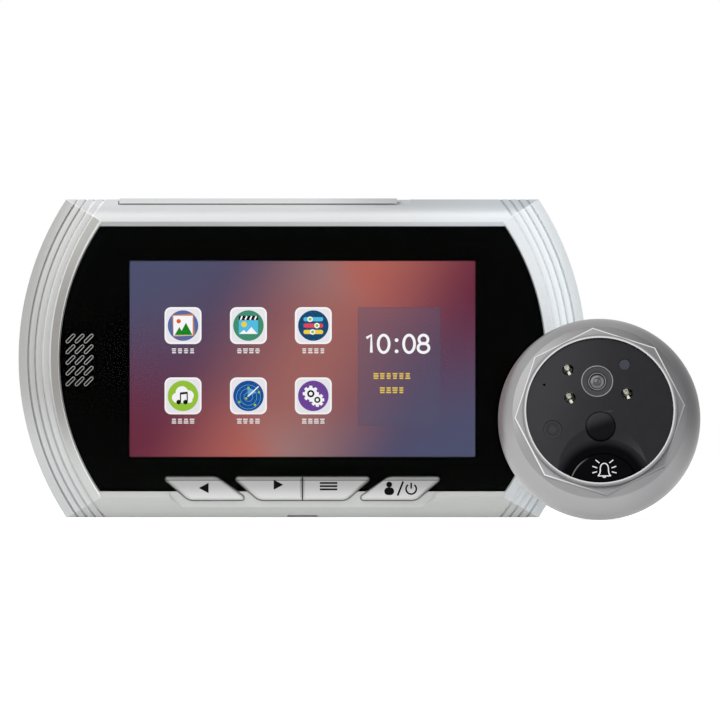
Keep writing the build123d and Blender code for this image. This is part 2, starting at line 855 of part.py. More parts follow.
with BuildPart() as key_menu:
    with BuildSketch(facing(key_rim_y)):
        centre_key_outline()
        with Locations((moving_gap / 2, key_middle)):
            Rectangle(
                centre_key_top, 2 * key_height, align=(Align.MIN, Align.CENTER), mode=Mode.INTERSECT
            )
    extrude(amount=key_rim_y - key_front_y)
    chamfer(faces().sort_by(Axis.Y)[0].edges(), length=key_bevel)
    with BuildSketch(facing(key_rim_back_y)):
        centre_key_outline(key_rim)
        with Locations((moving_gap / 2, key_middle)):
            Rectangle(
                2 * centre_key_top, 2 * key_height, align=(Align.MIN, Align.CENTER), mode=Mode.INTERSECT
            )
    extrude(amount=key_rim_thickness)
    with BuildSketch(facing(key_stem_y)):
        with Locations((centre_key_low / 2, key_middle)):
            Circle(key_stem_radius)
    extrude(amount=key_stem_y - key_rim_back_y)
key_menu.part.label = "key_menu"

with BuildPart() as key_right:
    add(mirror(key_menu.part, about=Plane.YZ, mode=Mode.PRIVATE))
key_right.part.label = "key_right"

# Lid over the card slot
with BuildPart() as port_cover:
    with BuildSketch(Plane.XY.offset(lid_low)):
        with Locations((lid_offset, lid_pivot_y)):
            Rectangle(lid_length, front_depth + seam_depth, align=(Align.CENTER, Align.MAX))
    extrude(amount=lid_thickness + 2 * lid_proud)
    add(casing_block(-lid_proud), mode=Mode.INTERSECT)
    with BuildSketch(Plane.YZ.offset(lid_left)):
        with Locations((lid_pivot_y, lid_pivot_z)):
            Circle(lid_lug_radius)
    extrude(amount=lid_length)
    with BuildSketch(Plane.YZ.offset(lid_left - lid_pip_length)):
        with Locations((lid_pivot_y, lid_pivot_z)):
            Circle(lid_pip_radius)
    extrude(amount=lid_length + 2 * lid_pip_length)
port_cover.part.label = "port_cover"

# Door bracket: a steel plate with four hooks bent out of their own windows
hook_window_height = plate_front_y - (seat_inner_y - hook_inner_gap - bracket_thickness) + hook_height
with BuildPart() as wall_bracket:
    with BuildSketch(facing(plate_back_y)):
        with Locations((0, bracket_z)):
            RectangleRounded(bracket_width, bracket_height, bracket_corner_radius)
            Circle(sleeve_hole_radius, mode=Mode.SUBTRACT)
            with GridLocations(bracket_screw_span_x, bracket_screw_span_z, 2, 2):
                Circle(bracket_screw_radius, mode=Mode.SUBTRACT)
        for hook_offset in hook_offsets:
            with Locations((0, bracket_z + hook_offset + bracket_thickness)):
                with GridLocations(hook_span, 0, 2, 1):
                    Rectangle(
                        hook_width,
                        hook_window_height,
                        align=(Align.CENTER, Align.MIN),
                        mode=Mode.SUBTRACT,
                    )
    extrude(amount=bracket_thickness)
    for hook_offset in hook_offsets:
        with BuildSketch(facing(plate_front_y)):
            with Locations((0, bracket_z + hook_offset)):
                with GridLocations(hook_span, 0, 2, 1):
                    Rectangle(hook_width, bracket_thickness, align=(Align.CENTER, Align.MIN))
        extrude(amount=plate_front_y - seat_inner_y + hook_inner_gap + bracket_thickness)
        with BuildSketch(facing(seat_inner_y - hook_inner_gap)):
            with Locations((0, bracket_z + hook_offset)):
                with GridLocations(hook_span, 0, 2, 1):
                    Rectangle(
                        hook_width, bracket_thickness + hook_height, align=(Align.CENTER, Align.MIN)
                    )
        extrude(amount=bracket_thickness)
wall_bracket.part.label = "wall_bracket"

# The outdoor unit leans back: the rim's lowest point and the sleeve flange both stand on the floor
lean = atan2(rim_radius - sleeve_flange_radius, sleeve_reach)
camera_y = ridge_y - stand_gap - sleeve_reach * cos(lean) - sleeve_flange_radius * sin(lean)
camera_plane = Plane(
    origin=(camera_x, camera_y, rim_radius * cos(lean)),
    x_dir=(1, 0, 0),
    z_dir=(0, -cos(lean), sin(lean)),
)


def across(height):
    """The plane across the outdoor unit's axis at this height over the back of its rim."""
    return camera_plane.offset(height)


def on_face(share):
    """A place in the face, from its shares of the face radius."""
    return (share[0] * face_radius, share[1] * face_radius)


# Section through the outdoor unit's axis: X is the radius, Y the height
axis_section = Plane(
    origin=camera_plane.origin, x_dir=camera_plane.x_dir, z_dir=-camera_plane.y_dir
)
camera_axis = Axis(camera_plane.origin, camera_plane.z_dir)
face_under = face_height - face_thickness
face_seat_radius = face_radius - face_seat
face_seat_under = face_under - face_seat_thickness
bezel_inner_radius = dome_radius - bezel_wall
back_rebate_radius = rim_radius - camera_back_rebate
call_place = on_face(call_share)


def turned_places(circle_radius, turns):
    """Places on a circle round the outdoor unit's axis, at these turns in degrees."""
    return [(circle_radius * cos(radians(turn)), circle_radius * sin(radians(turn))) for turn in turns]


camera_screw_places = turned_places(camera_screw_circle, camera_screw_turns)
camera_post_places = turned_places(camera_post_circle, camera_post_turns)
barrel_screw_places = turned_places(barrel_screw_circle, camera_screw_turns)

with BuildPart() as camera_bezel:
    with BuildSketch(axis_section):
        with BuildLine():
            ThreePointArc(
                (rim_radius, rim_land),
                (
                    (rim_radius + dome_radius) / 2 + dome_bulge,
                    (rim_land + dome_height) / 2 + dome_rise,
                ),
                (dome_radius, dome_height),
            )
            Polyline(
                (dome_radius, dome_height),
                (ring_radius, shoulder_height),
                (face_radius, shoulder_height),
                (face_radius, face_under),
                (face_seat_radius, face_under),
                (face_seat_radius, face_seat_under),
                (bezel_inner_radius, face_seat_under),
                (back_rebate_radius - snug_gap, camera_back_thickness),
                (back_rebate_radius, camera_back_thickness),
                (back_rebate_radius, 0),
                (rim_radius, 0),
                (rim_radius, rim_land),
            )
        make_face()
    revolve(axis=camera_axis)
    # Eight-sided ridge round the face
    with BuildSketch(across(dome_height - overrun)):
        RegularPolygon(ridge_radius, 8, rotation=ridge_turn)
    extrude(amount=ridge_height - dome_height + overrun)
    chamfer(faces().sort_by(camera_axis)[-1].edges(), length=ridge_bevel)
    with BuildSketch(across(ridge_height)):
        Circle(ring_radius)
    extrude(amount=ring_height - ridge_height)
    chamfer(faces().sort_by(camera_axis)[-1].edges(), length=ring_bevel)
    with BuildSketch(across(ring_height)):
        Circle(face_radius)
    extrude(amount=face_under - ring_height, mode=Mode.SUBTRACT)
    with BuildSketch(across(face_under)):
        Circle(face_seat_radius)
        with Locations(call_place):
            Circle(call_radius + call_rim + moving_gap)
        Circle(face_radius, mode=Mode.INTERSECT)
    extrude(amount=-face_seat_thickness, mode=Mode.SUBTRACT)
    with BuildSketch(across(face_seat_under)):
        Circle(bezel_inner_radius)
    extrude(amount=camera_back_thickness - face_seat_under, mode=Mode.SUBTRACT)
    # Bosses of the back screws
    with BuildSketch(across(camera_back_thickness)):
        with Locations(*camera_screw_places):
            Circle(camera_boss_radius)
            Circle(screw_radius, mode=Mode.SUBTRACT)
    extrude(amount=camera_boss_height - camera_back_thickness)
camera_bezel.part.label = "camera_bezel"

# Face panel: crowned, with a scoop round the call button
scoop_sphere = (scoop_radius**2 + scoop_depth**2) / (2 * scoop_depth)
crown_sphere = (face_radius**2 + face_crown**2) / (2 * face_crown)
lens_place = on_face(lens_share)
motion_place = on_face(motion_share)
indicator_place = on_face(indicator_share)
light_sensor_place = on_face(light_sensor_share)
microphone_place = on_face(microphone_share)
led_places = [on_face(share) for share in led_shares]

with BuildPart() as face_panel:
    with BuildSketch(across(face_under)):
        Circle(face_radius - snug_gap)
    extrude(amount=face_thickness + face_crown)
    with Locations(across(face_height + face_crown - crown_sphere)):
        Sphere(crown_sphere, mode=Mode.INTERSECT)
    with Locations(across(face_height - scoop_depth + scoop_sphere)):
        with Locations((call_place[0], call_place[1])):
            Sphere(scoop_sphere, mode=Mode.SUBTRACT)
    with BuildSketch(across(face_under)):
        with Locations(lens_place):
            Circle(lens_radius)
        with Locations(*led_places):
            Circle(led_radius + snug_gap)
        with Locations(light_sensor_place):
            Circle(light_sensor_radius + snug_gap)
        with Locations(microphone_place):
            Circle(microphone_hole_radius)
        with Locations(indicator_place):
            Circle(indicator_radius + snug_gap)
        with Locations(motion_place):
            Circle(motion_radius + snug_gap)
        with Locations(call_place):
            Circle(call_radius + panel_gap)
    extrude(amount=face_thickness + face_crown + overrun, mode=Mode.SUBTRACT)
face_panel.part.label = "face_panel"

# Call button, clipped by the ring, with its rim behind the face
call_front = face_height - scoop_depth + call_proud
call_rim_height = face_under - moving_gap
call_switch_place = on_face(call_stem_share)
board_front = camera_board_height + camera_board_thickness
call_stem_height = board_front + call_switch_height + call_travel + moving_gap

with BuildPart() as call_button:
    with BuildSketch(across(call_rim_height)):
        with Locations(call_place):
            Circle(call_radius)
        Circle(face_radius - moving_gap, mode=Mode.INTERSECT)
    extrude(amount=call_front - call_rim_height)
    chamfer(faces().sort_by(camera_axis)[-1].edges(), length=call_bevel)
    with BuildSketch(across(call_rim_height)):
        with Locations(call_place):
            Circle(call_radius + call_rim)
        Circle(face_radius - moving_gap, mode=Mode.INTERSECT)
    extrude(amount=-call_rim_thickness)
    with BuildSketch(across(call_rim_height - call_rim_thickness)):
        with Locations(call_switch_place):
            Circle(call_stem_radius)
    extrude(amount=call_stem_height - call_rim_height + call_rim_thickness)
call_button.part.label = "call_button"

# Camera module
with BuildPart() as lens_barrel:
    with BuildSketch(across(board_front)):
        with Locations(lens_place):
            Circle(lens_base_radius)
    extrude(amount=lens_base_height)
    with BuildSketch(across(board_front + lens_base_height)):
        with Locations(lens_place):
            Circle(lens_radius - snug_gap)
    extrude(amount=face_height + face_crown - board_front - lens_base_height)
    chamfer(faces().sort_by(camera_axis)[-1].edges(), length=lens_edge)
    with Locations(across(face_height + face_crown)):
        with Locations(lens_place):
            CounterBoreHole(lens_bore_radius, lens_glass_radius + snug_gap, lens_dish_depth, lens_bore_depth)
    chamfer(faces().sort_by(camera_axis)[-1].inner_wires()[0].edges(), length=lens_dish_bevel)
lens_barrel.part.label = "lens_barrel"

with BuildPart() as lens_glass:
    with BuildSketch(across(face_height + face_crown - lens_dish_depth)):
        with Locations(lens_place):
            Circle(lens_glass_radius)
    extrude(amount=lens_dish_depth / 2)
    fillet(faces().sort_by(camera_axis)[-1].edges(), radius=lens_dish_depth / 3)
lens_glass.part.label = "lens_glass"

# Lamps, sensors and the microphone, each on its legs
leg_offsets = ((led_leg_space, 0), (-led_leg_space, 0))


def legged_place(place):
    """The places of the two legs under a lamp or sensor."""
    return [(place[0] + step_x / 2, place[1] + step_y / 2) for step_x, step_y in leg_offsets]


with BuildPart() as infrared_lamps:
    for place in led_places:
        with BuildSketch(across(face_height)):
            with Locations(place):
                Circle(led_radius)
        extrude(amount=-led_length)
        with BuildSketch(across(board_front)):
            with Locations(*legged_place(place)):
                Circle(led_leg_radius)
        extrude(amount=face_height - led_length - board_front)
infrared_lamps.part.label = "infrared_lamps"

with BuildPart() as light_sensor:
    with BuildSketch(across(face_height)):
        with Locations(light_sensor_place):
            Circle(light_sensor_radius)
    extrude(amount=-light_sensor_length)
    with BuildSketch(across(board_front)):
        with Locations(*legged_place(light_sensor_place)):
            Circle(led_leg_radius)
    extrude(amount=face_height - light_sensor_length - board_front)
light_sensor.part.label = "light_sensor"

with BuildPart() as microphone:
    with BuildSketch(across(face_under)):
        with Locations(microphone_place):
            Circle(microphone_radius)
    extrude(amount=-microphone_length)
    with BuildSketch(across(board_front)):
        with Locations(*legged_place(microphone_place)):
            Circle(led_leg_radius)
    extrude(amount=face_under - microphone_length - board_front)
microphone.part.label = "microphone"

with BuildPart() as indicator_light:
    with BuildSketch(across(face_height)):
        with Locations(indicator_place):
            Circle(indicator_radius)
    extrude(amount=-indicator_thickness)
    with BuildSketch(across(board_front)):
        with Locations(indicator_place):
            Circle(indicator_radius / 2)
    extrude(amount=face_height - indicator_thickness - board_front)
indicator_light.part.label = "indicator_light"

with BuildPart() as motion_lens:
    with BuildSketch(across(face_under)):
        with Locations(motion_place):
            Circle(motion_radius)
    extrude(amount=face_thickness + motion_proud)
    with BuildSketch(across(face_under)):
        with Locations(motion_place):
            Circle(motion_radius + motion_rim)
    extrude(amount=-motion_rim)
    fillet(faces().sort_by(camera_axis)[-1].edges(), radius=motion_edge)
    with BuildSketch(across(face_under - motion_rim)):
        with Locations(motion_place):
            Circle(motion_radius - motion_rim)
    extrude(amount=face_thickness + motion_proud, mode=Mode.SUBTRACT)
motion_lens.part.label = "motion_lens"

with BuildPart() as motion_sensor:
    with BuildSketch(across(board_front)):
        with Locations(motion_place):
            Circle(motion_sensor_radius)
    extrude(amount=motion_sensor_length)
    with BuildSketch(across(board_front + motion_sensor_length)):
        with Locations(motion_place):
            Rectangle(motion_sensor_radius, motion_sensor_radius)
    extrude(amount=-motion_rim, mode=Mode.SUBTRACT)
motion_sensor.part.label = "motion_sensor"

with BuildPart() as call_switch:
    with BuildSketch(across(board_front)):
        with Locations(call_switch_place):
            Rectangle(call_switch_size, call_switch_size)
    extrude(amount=call_switch_height / 2)
    with BuildSketch(across(board_front + call_switch_height / 2)):
        with Locations(call_switch_place):
            Circle(call_stem_radius)
    extrude(amount=call_switch_height / 2)
call_switch.part.label = "call_switch"

with BuildPart() as camera_board:
    with BuildSketch(across(camera_board_height)):
        Circle(camera_board_radius)
        with Locations(*camera_post_places):
            Circle(screw_hole_radius, mode=Mode.SUBTRACT)
    extrude(amount=camera_board_thickness)
camera_board.part.label = "camera_board"

with BuildPart() as camera_board_screws:
    with BuildSketch(across(board_front)):
        with Locations(*camera_post_places):
            Circle(screw_head_radius)
    extrude(amount=screw_head_height)
    with BuildSketch(across(board_front)):
        with Locations(*camera_post_places):
            Circle(screw_radius - snug_gap)
    extrude(amount=(camera_back_thickness - board_front) / 2)
camera_board_screws.part.label = "camera_board_screws"

# Back of the outdoor unit
with BuildPart() as camera_back:
    with BuildSketch(across(0)):
        Circle(back_rebate_radius - snug_gap)
        Circle(barrel_radius + snug_gap, mode=Mode.SUBTRACT)
        with Locations(*camera_screw_places):
            Circle(screw_hole_radius, mode=Mode.SUBTRACT)
    extrude(amount=camera_back_thickness)
    with BuildSketch(across(0)):
        with Locations(*camera_screw_places):
            Circle(screw_head_radius + snug_gap)
    extrude(amount=screw_head_height + snug_gap, mode=Mode.SUBTRACT)
    with BuildSketch(across(camera_back_thickness)):
        with Locations(*barrel_screw_places):
            Circle(barrel_screw_radius + snug_gap)
    extrude(amount=-camera_back_thickness * barrel_screw_share, mode=Mode.SUBTRACT)
    with BuildSketch(across(camera_back_thickness)):
        with Locations(*camera_post_places):
            Circle(camera_post_radius)
            Circle(screw_radius, mode=Mode.SUBTRACT)
    extrude(amount=camera_board_height - camera_back_thickness)
camera_back.part.label = "camera_back"

back_screw_seat = screw_head_height + snug_gap
with BuildPart() as camera_back_screws:
    with BuildSketch(across(back_screw_seat)):
        with Locations(*camera_screw_places):
            Circle(screw_head_radius)
    extrude(amount=-screw_head_height)
    with BuildSketch(across(back_screw_seat)):
        with Locations(*camera_screw_places):
            Circle(screw_radius - snug_gap)
    extrude(amount=screw_bite)
camera_back_screws.part.label = "camera_back_screws"

with BuildPart() as door_gasket:
    with BuildSketch(across(0)):
        Circle(gasket_radius)
        Circle(gasket_bore, mode=Mode.SUBTRACT)
    extrude(amount=-gasket_thickness)
door_gasket.part.label = "door_gasket"

# Threaded barrel through the door, and its screws
flange_front = camera_back_thickness + barrel_flange_thickness
with BuildPart() as threaded_barrel:
    with BuildSketch(across(camera_back_thickness)):
        Circle(barrel_flange_radius)
        with Locations(*barrel_screw_places):
            Circle(barrel_screw_radius + snug_gap, mode=Mode.SUBTRACT)
    extrude(amount=barrel_flange_thickness)
    with BuildSketch(across(camera_back_thickness)):
        Circle(barrel_radius)
    extrude(amount=-camera_back_thickness - barrel_reach)
    chamfer(faces().sort_by(camera_axis)[0].edges(), length=barrel_edge)
    with BuildSketch(across(flange_front)):
        Circle(barrel_bore)
    extrude(amount=-flange_front - barrel_reach, mode=Mode.SUBTRACT)
threaded_barrel.part.label = "threaded_barrel"

with BuildPart() as barrel_screws:
    with BuildSketch(across(flange_front)):
        with Locations(*barrel_screw_places):
            Circle(barrel_screw_head_radius)
    extrude(amount=barrel_screw_head_height)
    with BuildSketch(across(flange_front)):
        with Locations(*barrel_screw_places):
            Circle(barrel_screw_radius)
    extrude(amount=-barrel_flange_thickness - camera_back_thickness * barrel_screw_share / 2)
barrel_screws.part.label = "barrel_screws"

# Clamp sleeve and its rubber washer
flange_height = sleeve_flange_thickness - sleeve_reach
with BuildPart() as clamp_sleeve:
    with BuildSketch(across(-sleeve_reach)):
        Circle(sleeve_flange_radius)
        with Locations((sleeve_flange_radius, 0), (-sleeve_flange_radius, 0)):
            Rectangle(2 * sleeve_notch_depth, sleeve_notch_width, mode=Mode.SUBTRACT)
    extrude(amount=sleeve_flange_thickness)
    with BuildSketch(across(flange_height)):
        Circle(sleeve_radius)
    extrude(amount=sleeve_length - sleeve_flange_thickness)
    with BuildSketch(across(-sleeve_reach)):
        Circle(barrel_radius + sleeve_gap)
    extrude(amount=sleeve_length, mode=Mode.SUBTRACT)
clamp_sleeve.part.label = "clamp_sleeve"

with BuildPart() as rubber_washer:
    with BuildSketch(across(flange_height + moving_gap)):
        Circle(washer_radius)
        Circle(sleeve_radius + moving_gap, mode=Mode.SUBTRACT)
    extrude(amount=washer_thickness)
rubber_washer.part.label = "rubber_washer"

for piece in (
    front_casing,
    rear_casing,
    casing_screws,
    window_panel,
    window_mask,
    lcd_panel,
    lcd_frame,
    speaker_frame,
    speaker_cone,
    main_board,
    board_screws,
    board_chips,
    key_switches,
    usb_socket,
    card_socket,
    ribbon_socket,
    battery,
    key_left,
    key_right,
    key_menu,
    key_power,
    port_cover,
    wall_bracket,
    camera_bezel,
    face_panel,
    call_button,
    lens_barrel,
    lens_glass,
    infrared_lamps,
    light_sensor,
    microphone,
    indicator_light,
    motion_lens,
    motion_sensor,
    call_switch,
    camera_board,
    camera_board_screws,
    camera_back,
    camera_back_screws,
    door_gasket,
    threaded_barrel,
    barrel_screws,
    clamp_sleeve,
    rubber_washer,
):
    export_step(piece.part, f"parts/{piece.part.label}.step")
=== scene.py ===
# Peephole door camera: a wide indoor monitor and the round outdoor unit in front of it, in a pale studio.
import json
import random
from math import cos, pi, radians, sin
from types import SimpleNamespace

import bpy
from mathutils import Matrix, Vector


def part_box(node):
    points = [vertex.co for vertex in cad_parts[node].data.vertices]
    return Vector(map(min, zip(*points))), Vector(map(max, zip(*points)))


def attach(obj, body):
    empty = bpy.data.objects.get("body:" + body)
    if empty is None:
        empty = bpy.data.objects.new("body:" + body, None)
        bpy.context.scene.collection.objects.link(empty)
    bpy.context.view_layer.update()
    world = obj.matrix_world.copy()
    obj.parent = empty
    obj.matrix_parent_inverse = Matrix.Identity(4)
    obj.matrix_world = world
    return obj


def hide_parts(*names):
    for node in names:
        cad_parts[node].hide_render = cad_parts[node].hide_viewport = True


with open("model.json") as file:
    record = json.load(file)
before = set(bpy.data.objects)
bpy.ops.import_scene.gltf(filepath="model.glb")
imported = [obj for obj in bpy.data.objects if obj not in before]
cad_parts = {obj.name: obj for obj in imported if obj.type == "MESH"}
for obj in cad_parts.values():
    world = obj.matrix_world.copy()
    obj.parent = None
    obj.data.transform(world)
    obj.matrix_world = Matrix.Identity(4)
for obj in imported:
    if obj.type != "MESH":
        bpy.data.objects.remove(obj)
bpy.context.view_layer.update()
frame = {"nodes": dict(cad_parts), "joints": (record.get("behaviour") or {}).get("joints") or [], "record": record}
bpy.ops.object.select_all(action="DESELECT")
mm = 0.001  # the scene is in metres, and sizes below are in millimetres
random.seed(7)
print("frame loaded")


# Places, read from the frame
def boxOf(node):
    low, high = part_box(node)
    return Vector(low) / mm, Vector(high) / mm


windowFront = boxOf("window_panel")[0].y
displayFront = boxOf("lcd_panel")[0].y
keyFront = boxOf("key_power")[0].y
casingHigh = boxOf("front_casing")[1]
bezelLow, bezelHigh = boxOf("camera_bezel")
callJoint = next(joint for joint in frame["joints"] if joint["child"] == "call_button")
cameraAxis = -Vector(callJoint["axis"]).normalized()  # out of the camera's face
cameraUp = Vector((0, cameraAxis.z, -cameraAxis.y))
rimRadius = (bezelHigh.x - bezelLow.x) / 2
cameraOrigin = Vector((
    (bezelLow.x + bezelHigh.x) / 2,
    bezelHigh.y - rimRadius * cameraUp.y,
    rimRadius * cameraUp.z,
))


def onMonitor(depth):
    # the drawing plane that faces the viewer at this depth: X runs right, Y up, Z towards the viewer
    return Matrix(((1, 0, 0, 0), (0, 0, -1, depth * mm), (0, 1, 0, 0), (0, 0, 0, 1)))


def onCamera(level=0):
    # the drawing plane across the outdoor unit's axis, this far in front of the back of its rim
    origin = (cameraOrigin + cameraAxis * level) * mm
    return Matrix((
        (1, 0, 0, origin.x),
        (0, cameraUp.y, cameraAxis.y, origin.y),
        (0, cameraUp.z, cameraAxis.z, origin.z),
        (0, 0, 0, 1),
    ))


# Nodes of the materials
def arithmetic(operation, swapped=False):
    def act(level, other=0.0):
        return calculate(operation, other, level) if swapped else calculate(operation, level, other)
    return act


class Level:
    # a number or colour that changes over a surface: arithmetic on it adds nodes to its material
    def __init__(self, socket):
        self.socket = socket

    __add__ = arithmetic("ADD")
    __sub__ = arithmetic("SUBTRACT")
    __rsub__ = arithmetic("SUBTRACT", swapped=True)
    __mul__ = arithmetic("MULTIPLY")
    __truediv__ = arithmetic("DIVIDE")
    __mod__ = arithmetic("MODULO")
    __abs__ = arithmetic("ABSOLUTE")
    __lt__ = arithmetic("LESS_THAN")
    __gt__ = arithmetic("GREATER_THAN")
    __or__ = arithmetic("MAXIMUM")


def feed(value, target):
    # a level is linked to the socket; a number, a place, a grey or a colour is set on it
    if isinstance(value, Level):
        target.id_data.links.new(value.socket, target)
    elif target.type == "RGBA":
        colour = value if isinstance(value, tuple) else (value, value, value)
        target.default_value = (*colour, 1)
    else:
        target.default_value = value


def feedAll(node, values):
    for name, value in values.items():
        feed(value, node.inputs[name])


def addNode(tree, kind, values, output=0, **settings):
    # adds a node, feeds its inputs and gives one of its outputs
    node = tree.nodes.new(kind)
    for name, value in settings.items():
        setattr(node, name, value)
    feedAll(node, values)
    return Level(node.outputs[output])


def treeOf(*values):
    return next(value.socket.id_data for value in values if isinstance(value, Level))


def calculate(operation, *values):
    return addNode(treeOf(*values), "ShaderNodeMath", dict(enumerate(values)), operation=operation)


def distance(right, upward):
    return calculate("SQRT", right * right + upward * upward)


def smoothStep(value, low, high):
    return addNode(treeOf(value), "ShaderNodeMapRange", {"From Min": low, "From Max": high, "Value": value},
                   "Result", interpolation_type="SMOOTHSTEP")


def fade(value, places):
    # rises from 0 at the first place to 1 at the second, both in millimetres
    return smoothStep(value, places[0] * mm, places[1] * mm)


def band(value, low, high, soft=0.06):
    # 1 between two places in millimetres, 0 outside them
    return fade(value, (low - soft, low + soft)) * fade(value, (high + soft, high - soft))


def blend(share, first, second, mode="MIX"):
    return addNode(treeOf(share, first, second), "ShaderNodeMix", {0: share, 6: first, 7: second}, 2,
                   data_type="RGBA", blend_type=mode)


def multiplied(first, second):
    return blend(1.0, first, second, "MULTIPLY")


def tinted(tone, share, tint):
    # multiplies the tone by the tint over this share of the surface
    return multiplied(tone, blend(share, 1.0, tint))


def split(vector):
    axes = addNode(treeOf(vector), "ShaderNodeSeparateXYZ", {"Vector": vector}).socket.node.outputs
    return SimpleNamespace(x=Level(axes["X"]), y=Level(axes["Y"]), z=Level(axes["Z"]))


def objectVector(shader, scale=(1, 1, 1), centre=(0, 0, 0)):
    # object coordinates counted from a centre in millimetres, then scaled
    coordinates = addNode(shader.id_data, "ShaderNodeTexCoord", {}, "Object")
    location = [-c * mm * s for c, s in zip(centre, scale)]
    values = {"Scale": scale, "Location": location, "Vector": coordinates}
    return addNode(shader.id_data, "ShaderNodeMapping", values)


def faceNormal(shader):
    # in the piece's own space, so that a piece keeps its pattern when its joint turns it
    normal = addNode(shader.id_data, "ShaderNodeNewGeometry", {}, "True Normal")
    return split(addNode(shader.id_data, "ShaderNodeVectorTransform", {"Vector": normal},
                         vector_type="NORMAL", convert_from="WORLD", convert_to="OBJECT"))


def along(place, direction):
    # how far a place lies along a direction that has no part to the right
    return place.y * direction.y + place.z * direction.z


def screenColour(red, green, blue):
    # a colour as a screen names it, from 0 to 255, in the light values that a shader takes
    levels = (red / 255, green / 255, blue / 255)
    return tuple(level / 12.92 if level <= 0.04045 else ((level + 0.055) / 1.055) ** 2.4 for level in levels)


materials = {}


def newMaterial(name):
    # makes a material and gives its shader
    material = bpy.data.materials.new(name)
    material.use_nodes = True
    tree = material.node_tree
    tree.nodes.clear()
    output = tree.nodes.new("ShaderNodeOutputMaterial")
    shader = tree.nodes.new("ShaderNodeBsdfPrincipled")
    tree.links.new(shader.outputs["BSDF"], output.inputs["Surface"])
    materials[name] = material
    return shader


def setColour(shader, colour):
    feed(colour, shader.inputs["Base Color"])


def varyRoughness(shader, noise, low, high):
    values = {"To Min": low, "To Max": high, "Value": noise}
    feed(addNode(shader.id_data, "ShaderNodeMapRange", values, "Result"), shader.inputs["Roughness"])


grainLook = {"detail": 3, "shadePlaces": (0.3, 0.7), "roughness": (0.85, 1.15), "bumpDepth": 0.1}


def speckled(name, colour, roughness, metallic=0.0, spread=0.04, grain=2600, bump=0.02, coat=0.0,
             shine=0.5, streaks=(1, 1, 1)):
    # a finish with a fine grain: small changes of shade and roughness, and a shallow bump
    shader = newMaterial(name)
    tree = shader.id_data
    values = {"Scale": grain, "Detail": grainLook["detail"], "Vector": objectVector(shader, scale=streaks)}
    noise = addNode(tree, "ShaderNodeTexNoise", values, "Fac")
    shade = addNode(tree, "ShaderNodeValToRGB", {"Fac": noise}, "Color")
    stops = shade.socket.node.color_ramp.elements
    for stop, place, share in zip(stops, grainLook["shadePlaces"], (1 - spread, 1 + spread)):
        stop.position = place
        stop.color = (*(min(1, c * share) for c in colour), 1)
    varyRoughness(shader, noise, *(roughness * share for share in grainLook["roughness"]))
    if bump:
        values = {"Strength": bump, "Distance": grainLook["bumpDepth"] * mm, "Height": noise}
        feed(addNode(tree, "ShaderNodeBump", values, "Normal"), shader.inputs["Normal"])
    setColour(shader, shade)
    feedAll(shader, {"Metallic": metallic, "Coat Weight": coat, "Specular IOR Level": shine})
    return shader, shade


finishes = {
    "mask_black": dict(colour=(0.0001, 0.0001, 0.0001), roughness=0.6, bump=0, shine=0.0),
    "sheet_steel": dict(colour=(0.5, 0.5, 0.5), roughness=0.35, metallic=1.0, streaks=(1, 1, 12), grain=900),
    "screw_steel": dict(colour=(0.5, 0.5, 0.51), roughness=0.3, metallic=1.0),
    "board_green": dict(colour=(0.02, 0.13, 0.06), roughness=0.45),
    "chip_black": dict(colour=(0.02, 0.02, 0.02), roughness=0.5),
    "socket_ivory": dict(colour=(0.7, 0.66, 0.55), roughness=0.5),
    "speaker_black": dict(colour=(0.006, 0.006, 0.006), roughness=0.8, shine=0.2),
    "battery_foil": dict(colour=(0.5, 0.51, 0.53), roughness=0.35, metallic=0.9),
    "lens_black": dict(colour=(0.022, 0.021, 0.024), roughness=0.3, shine=0.35),
    "sensor_metal": dict(colour=(0.3, 0.3, 0.3), roughness=0.3, metallic=1.0),
    "mesh_black": dict(colour=(0.004, 0.004, 0.004), roughness=0.8, shine=0.1),
    "sensor_blue": dict(colour=(0.015, 0.019, 0.031), roughness=0.2, bump=0, shine=0.4),
    "back_black": dict(colour=(0.03, 0.03, 0.03), roughness=0.55),
    "gasket_foam": dict(colour=(0.025, 0.025, 0.025), roughness=0.9, grain=1500, bump=0.3),
    "washer_rubber": dict(colour=(0.025, 0.025, 0.025), roughness=0.7, grain=1500, bump=0.1),
    "barrel_brass": dict(colour=(0.56, 0.55, 0.52), roughness=0.28, metallic=1.0),
    "sign_ink": dict(colour=(0.004, 0.004, 0.005), roughness=0.8, bump=0, shine=0.05),
    "sign_white": dict(colour=(0.8, 0.8, 0.8), roughness=0.5, bump=0),
    "slot_edge": dict(colour=(0.34, 0.345, 0.35), roughness=0.4, metallic=0.3, bump=0),
    "lens_trim": dict(colour=(0.2, 0.198, 0.206), roughness=0.3, metallic=0.4, bump=0),
    "lamp_metal": dict(colour=(0.9, 0.88, 0.78), roughness=0.3, metallic=0.6, bump=0),
    "lamp_well": dict(colour=(0.055, 0.055, 0.052), roughness=0.5, bump=0, shine=0.2),
    "lens_core": dict(colour=(0.012, 0.012, 0.014), roughness=0.08, bump=0, shine=0.9),
}
for name, settings in finishes.items():
    speckled(name, **settings)


# Painted light and shade on the casing's silver paint, and the shapes of the casing that it follows
ribs = {"count": 4, "start": 2.45, "pitch": 1.95, "groove": 0.6, "wallReach": 0.1}
ribs["end"] = ribs["start"] + (ribs["count"] - 1) * ribs["pitch"] + ribs["groove"]
lipEdge = {"start": 10.95, "soft": 0.05}
sideArc = {"rise": 13.1, "middle": casingHigh.z / 2}
sideArc["radius"] = (sideArc["rise"] ** 2 + sideArc["middle"] ** 2) / (2 * sideArc["rise"])
sideArc["centreX"] = casingHigh.x - sideArc["radius"]
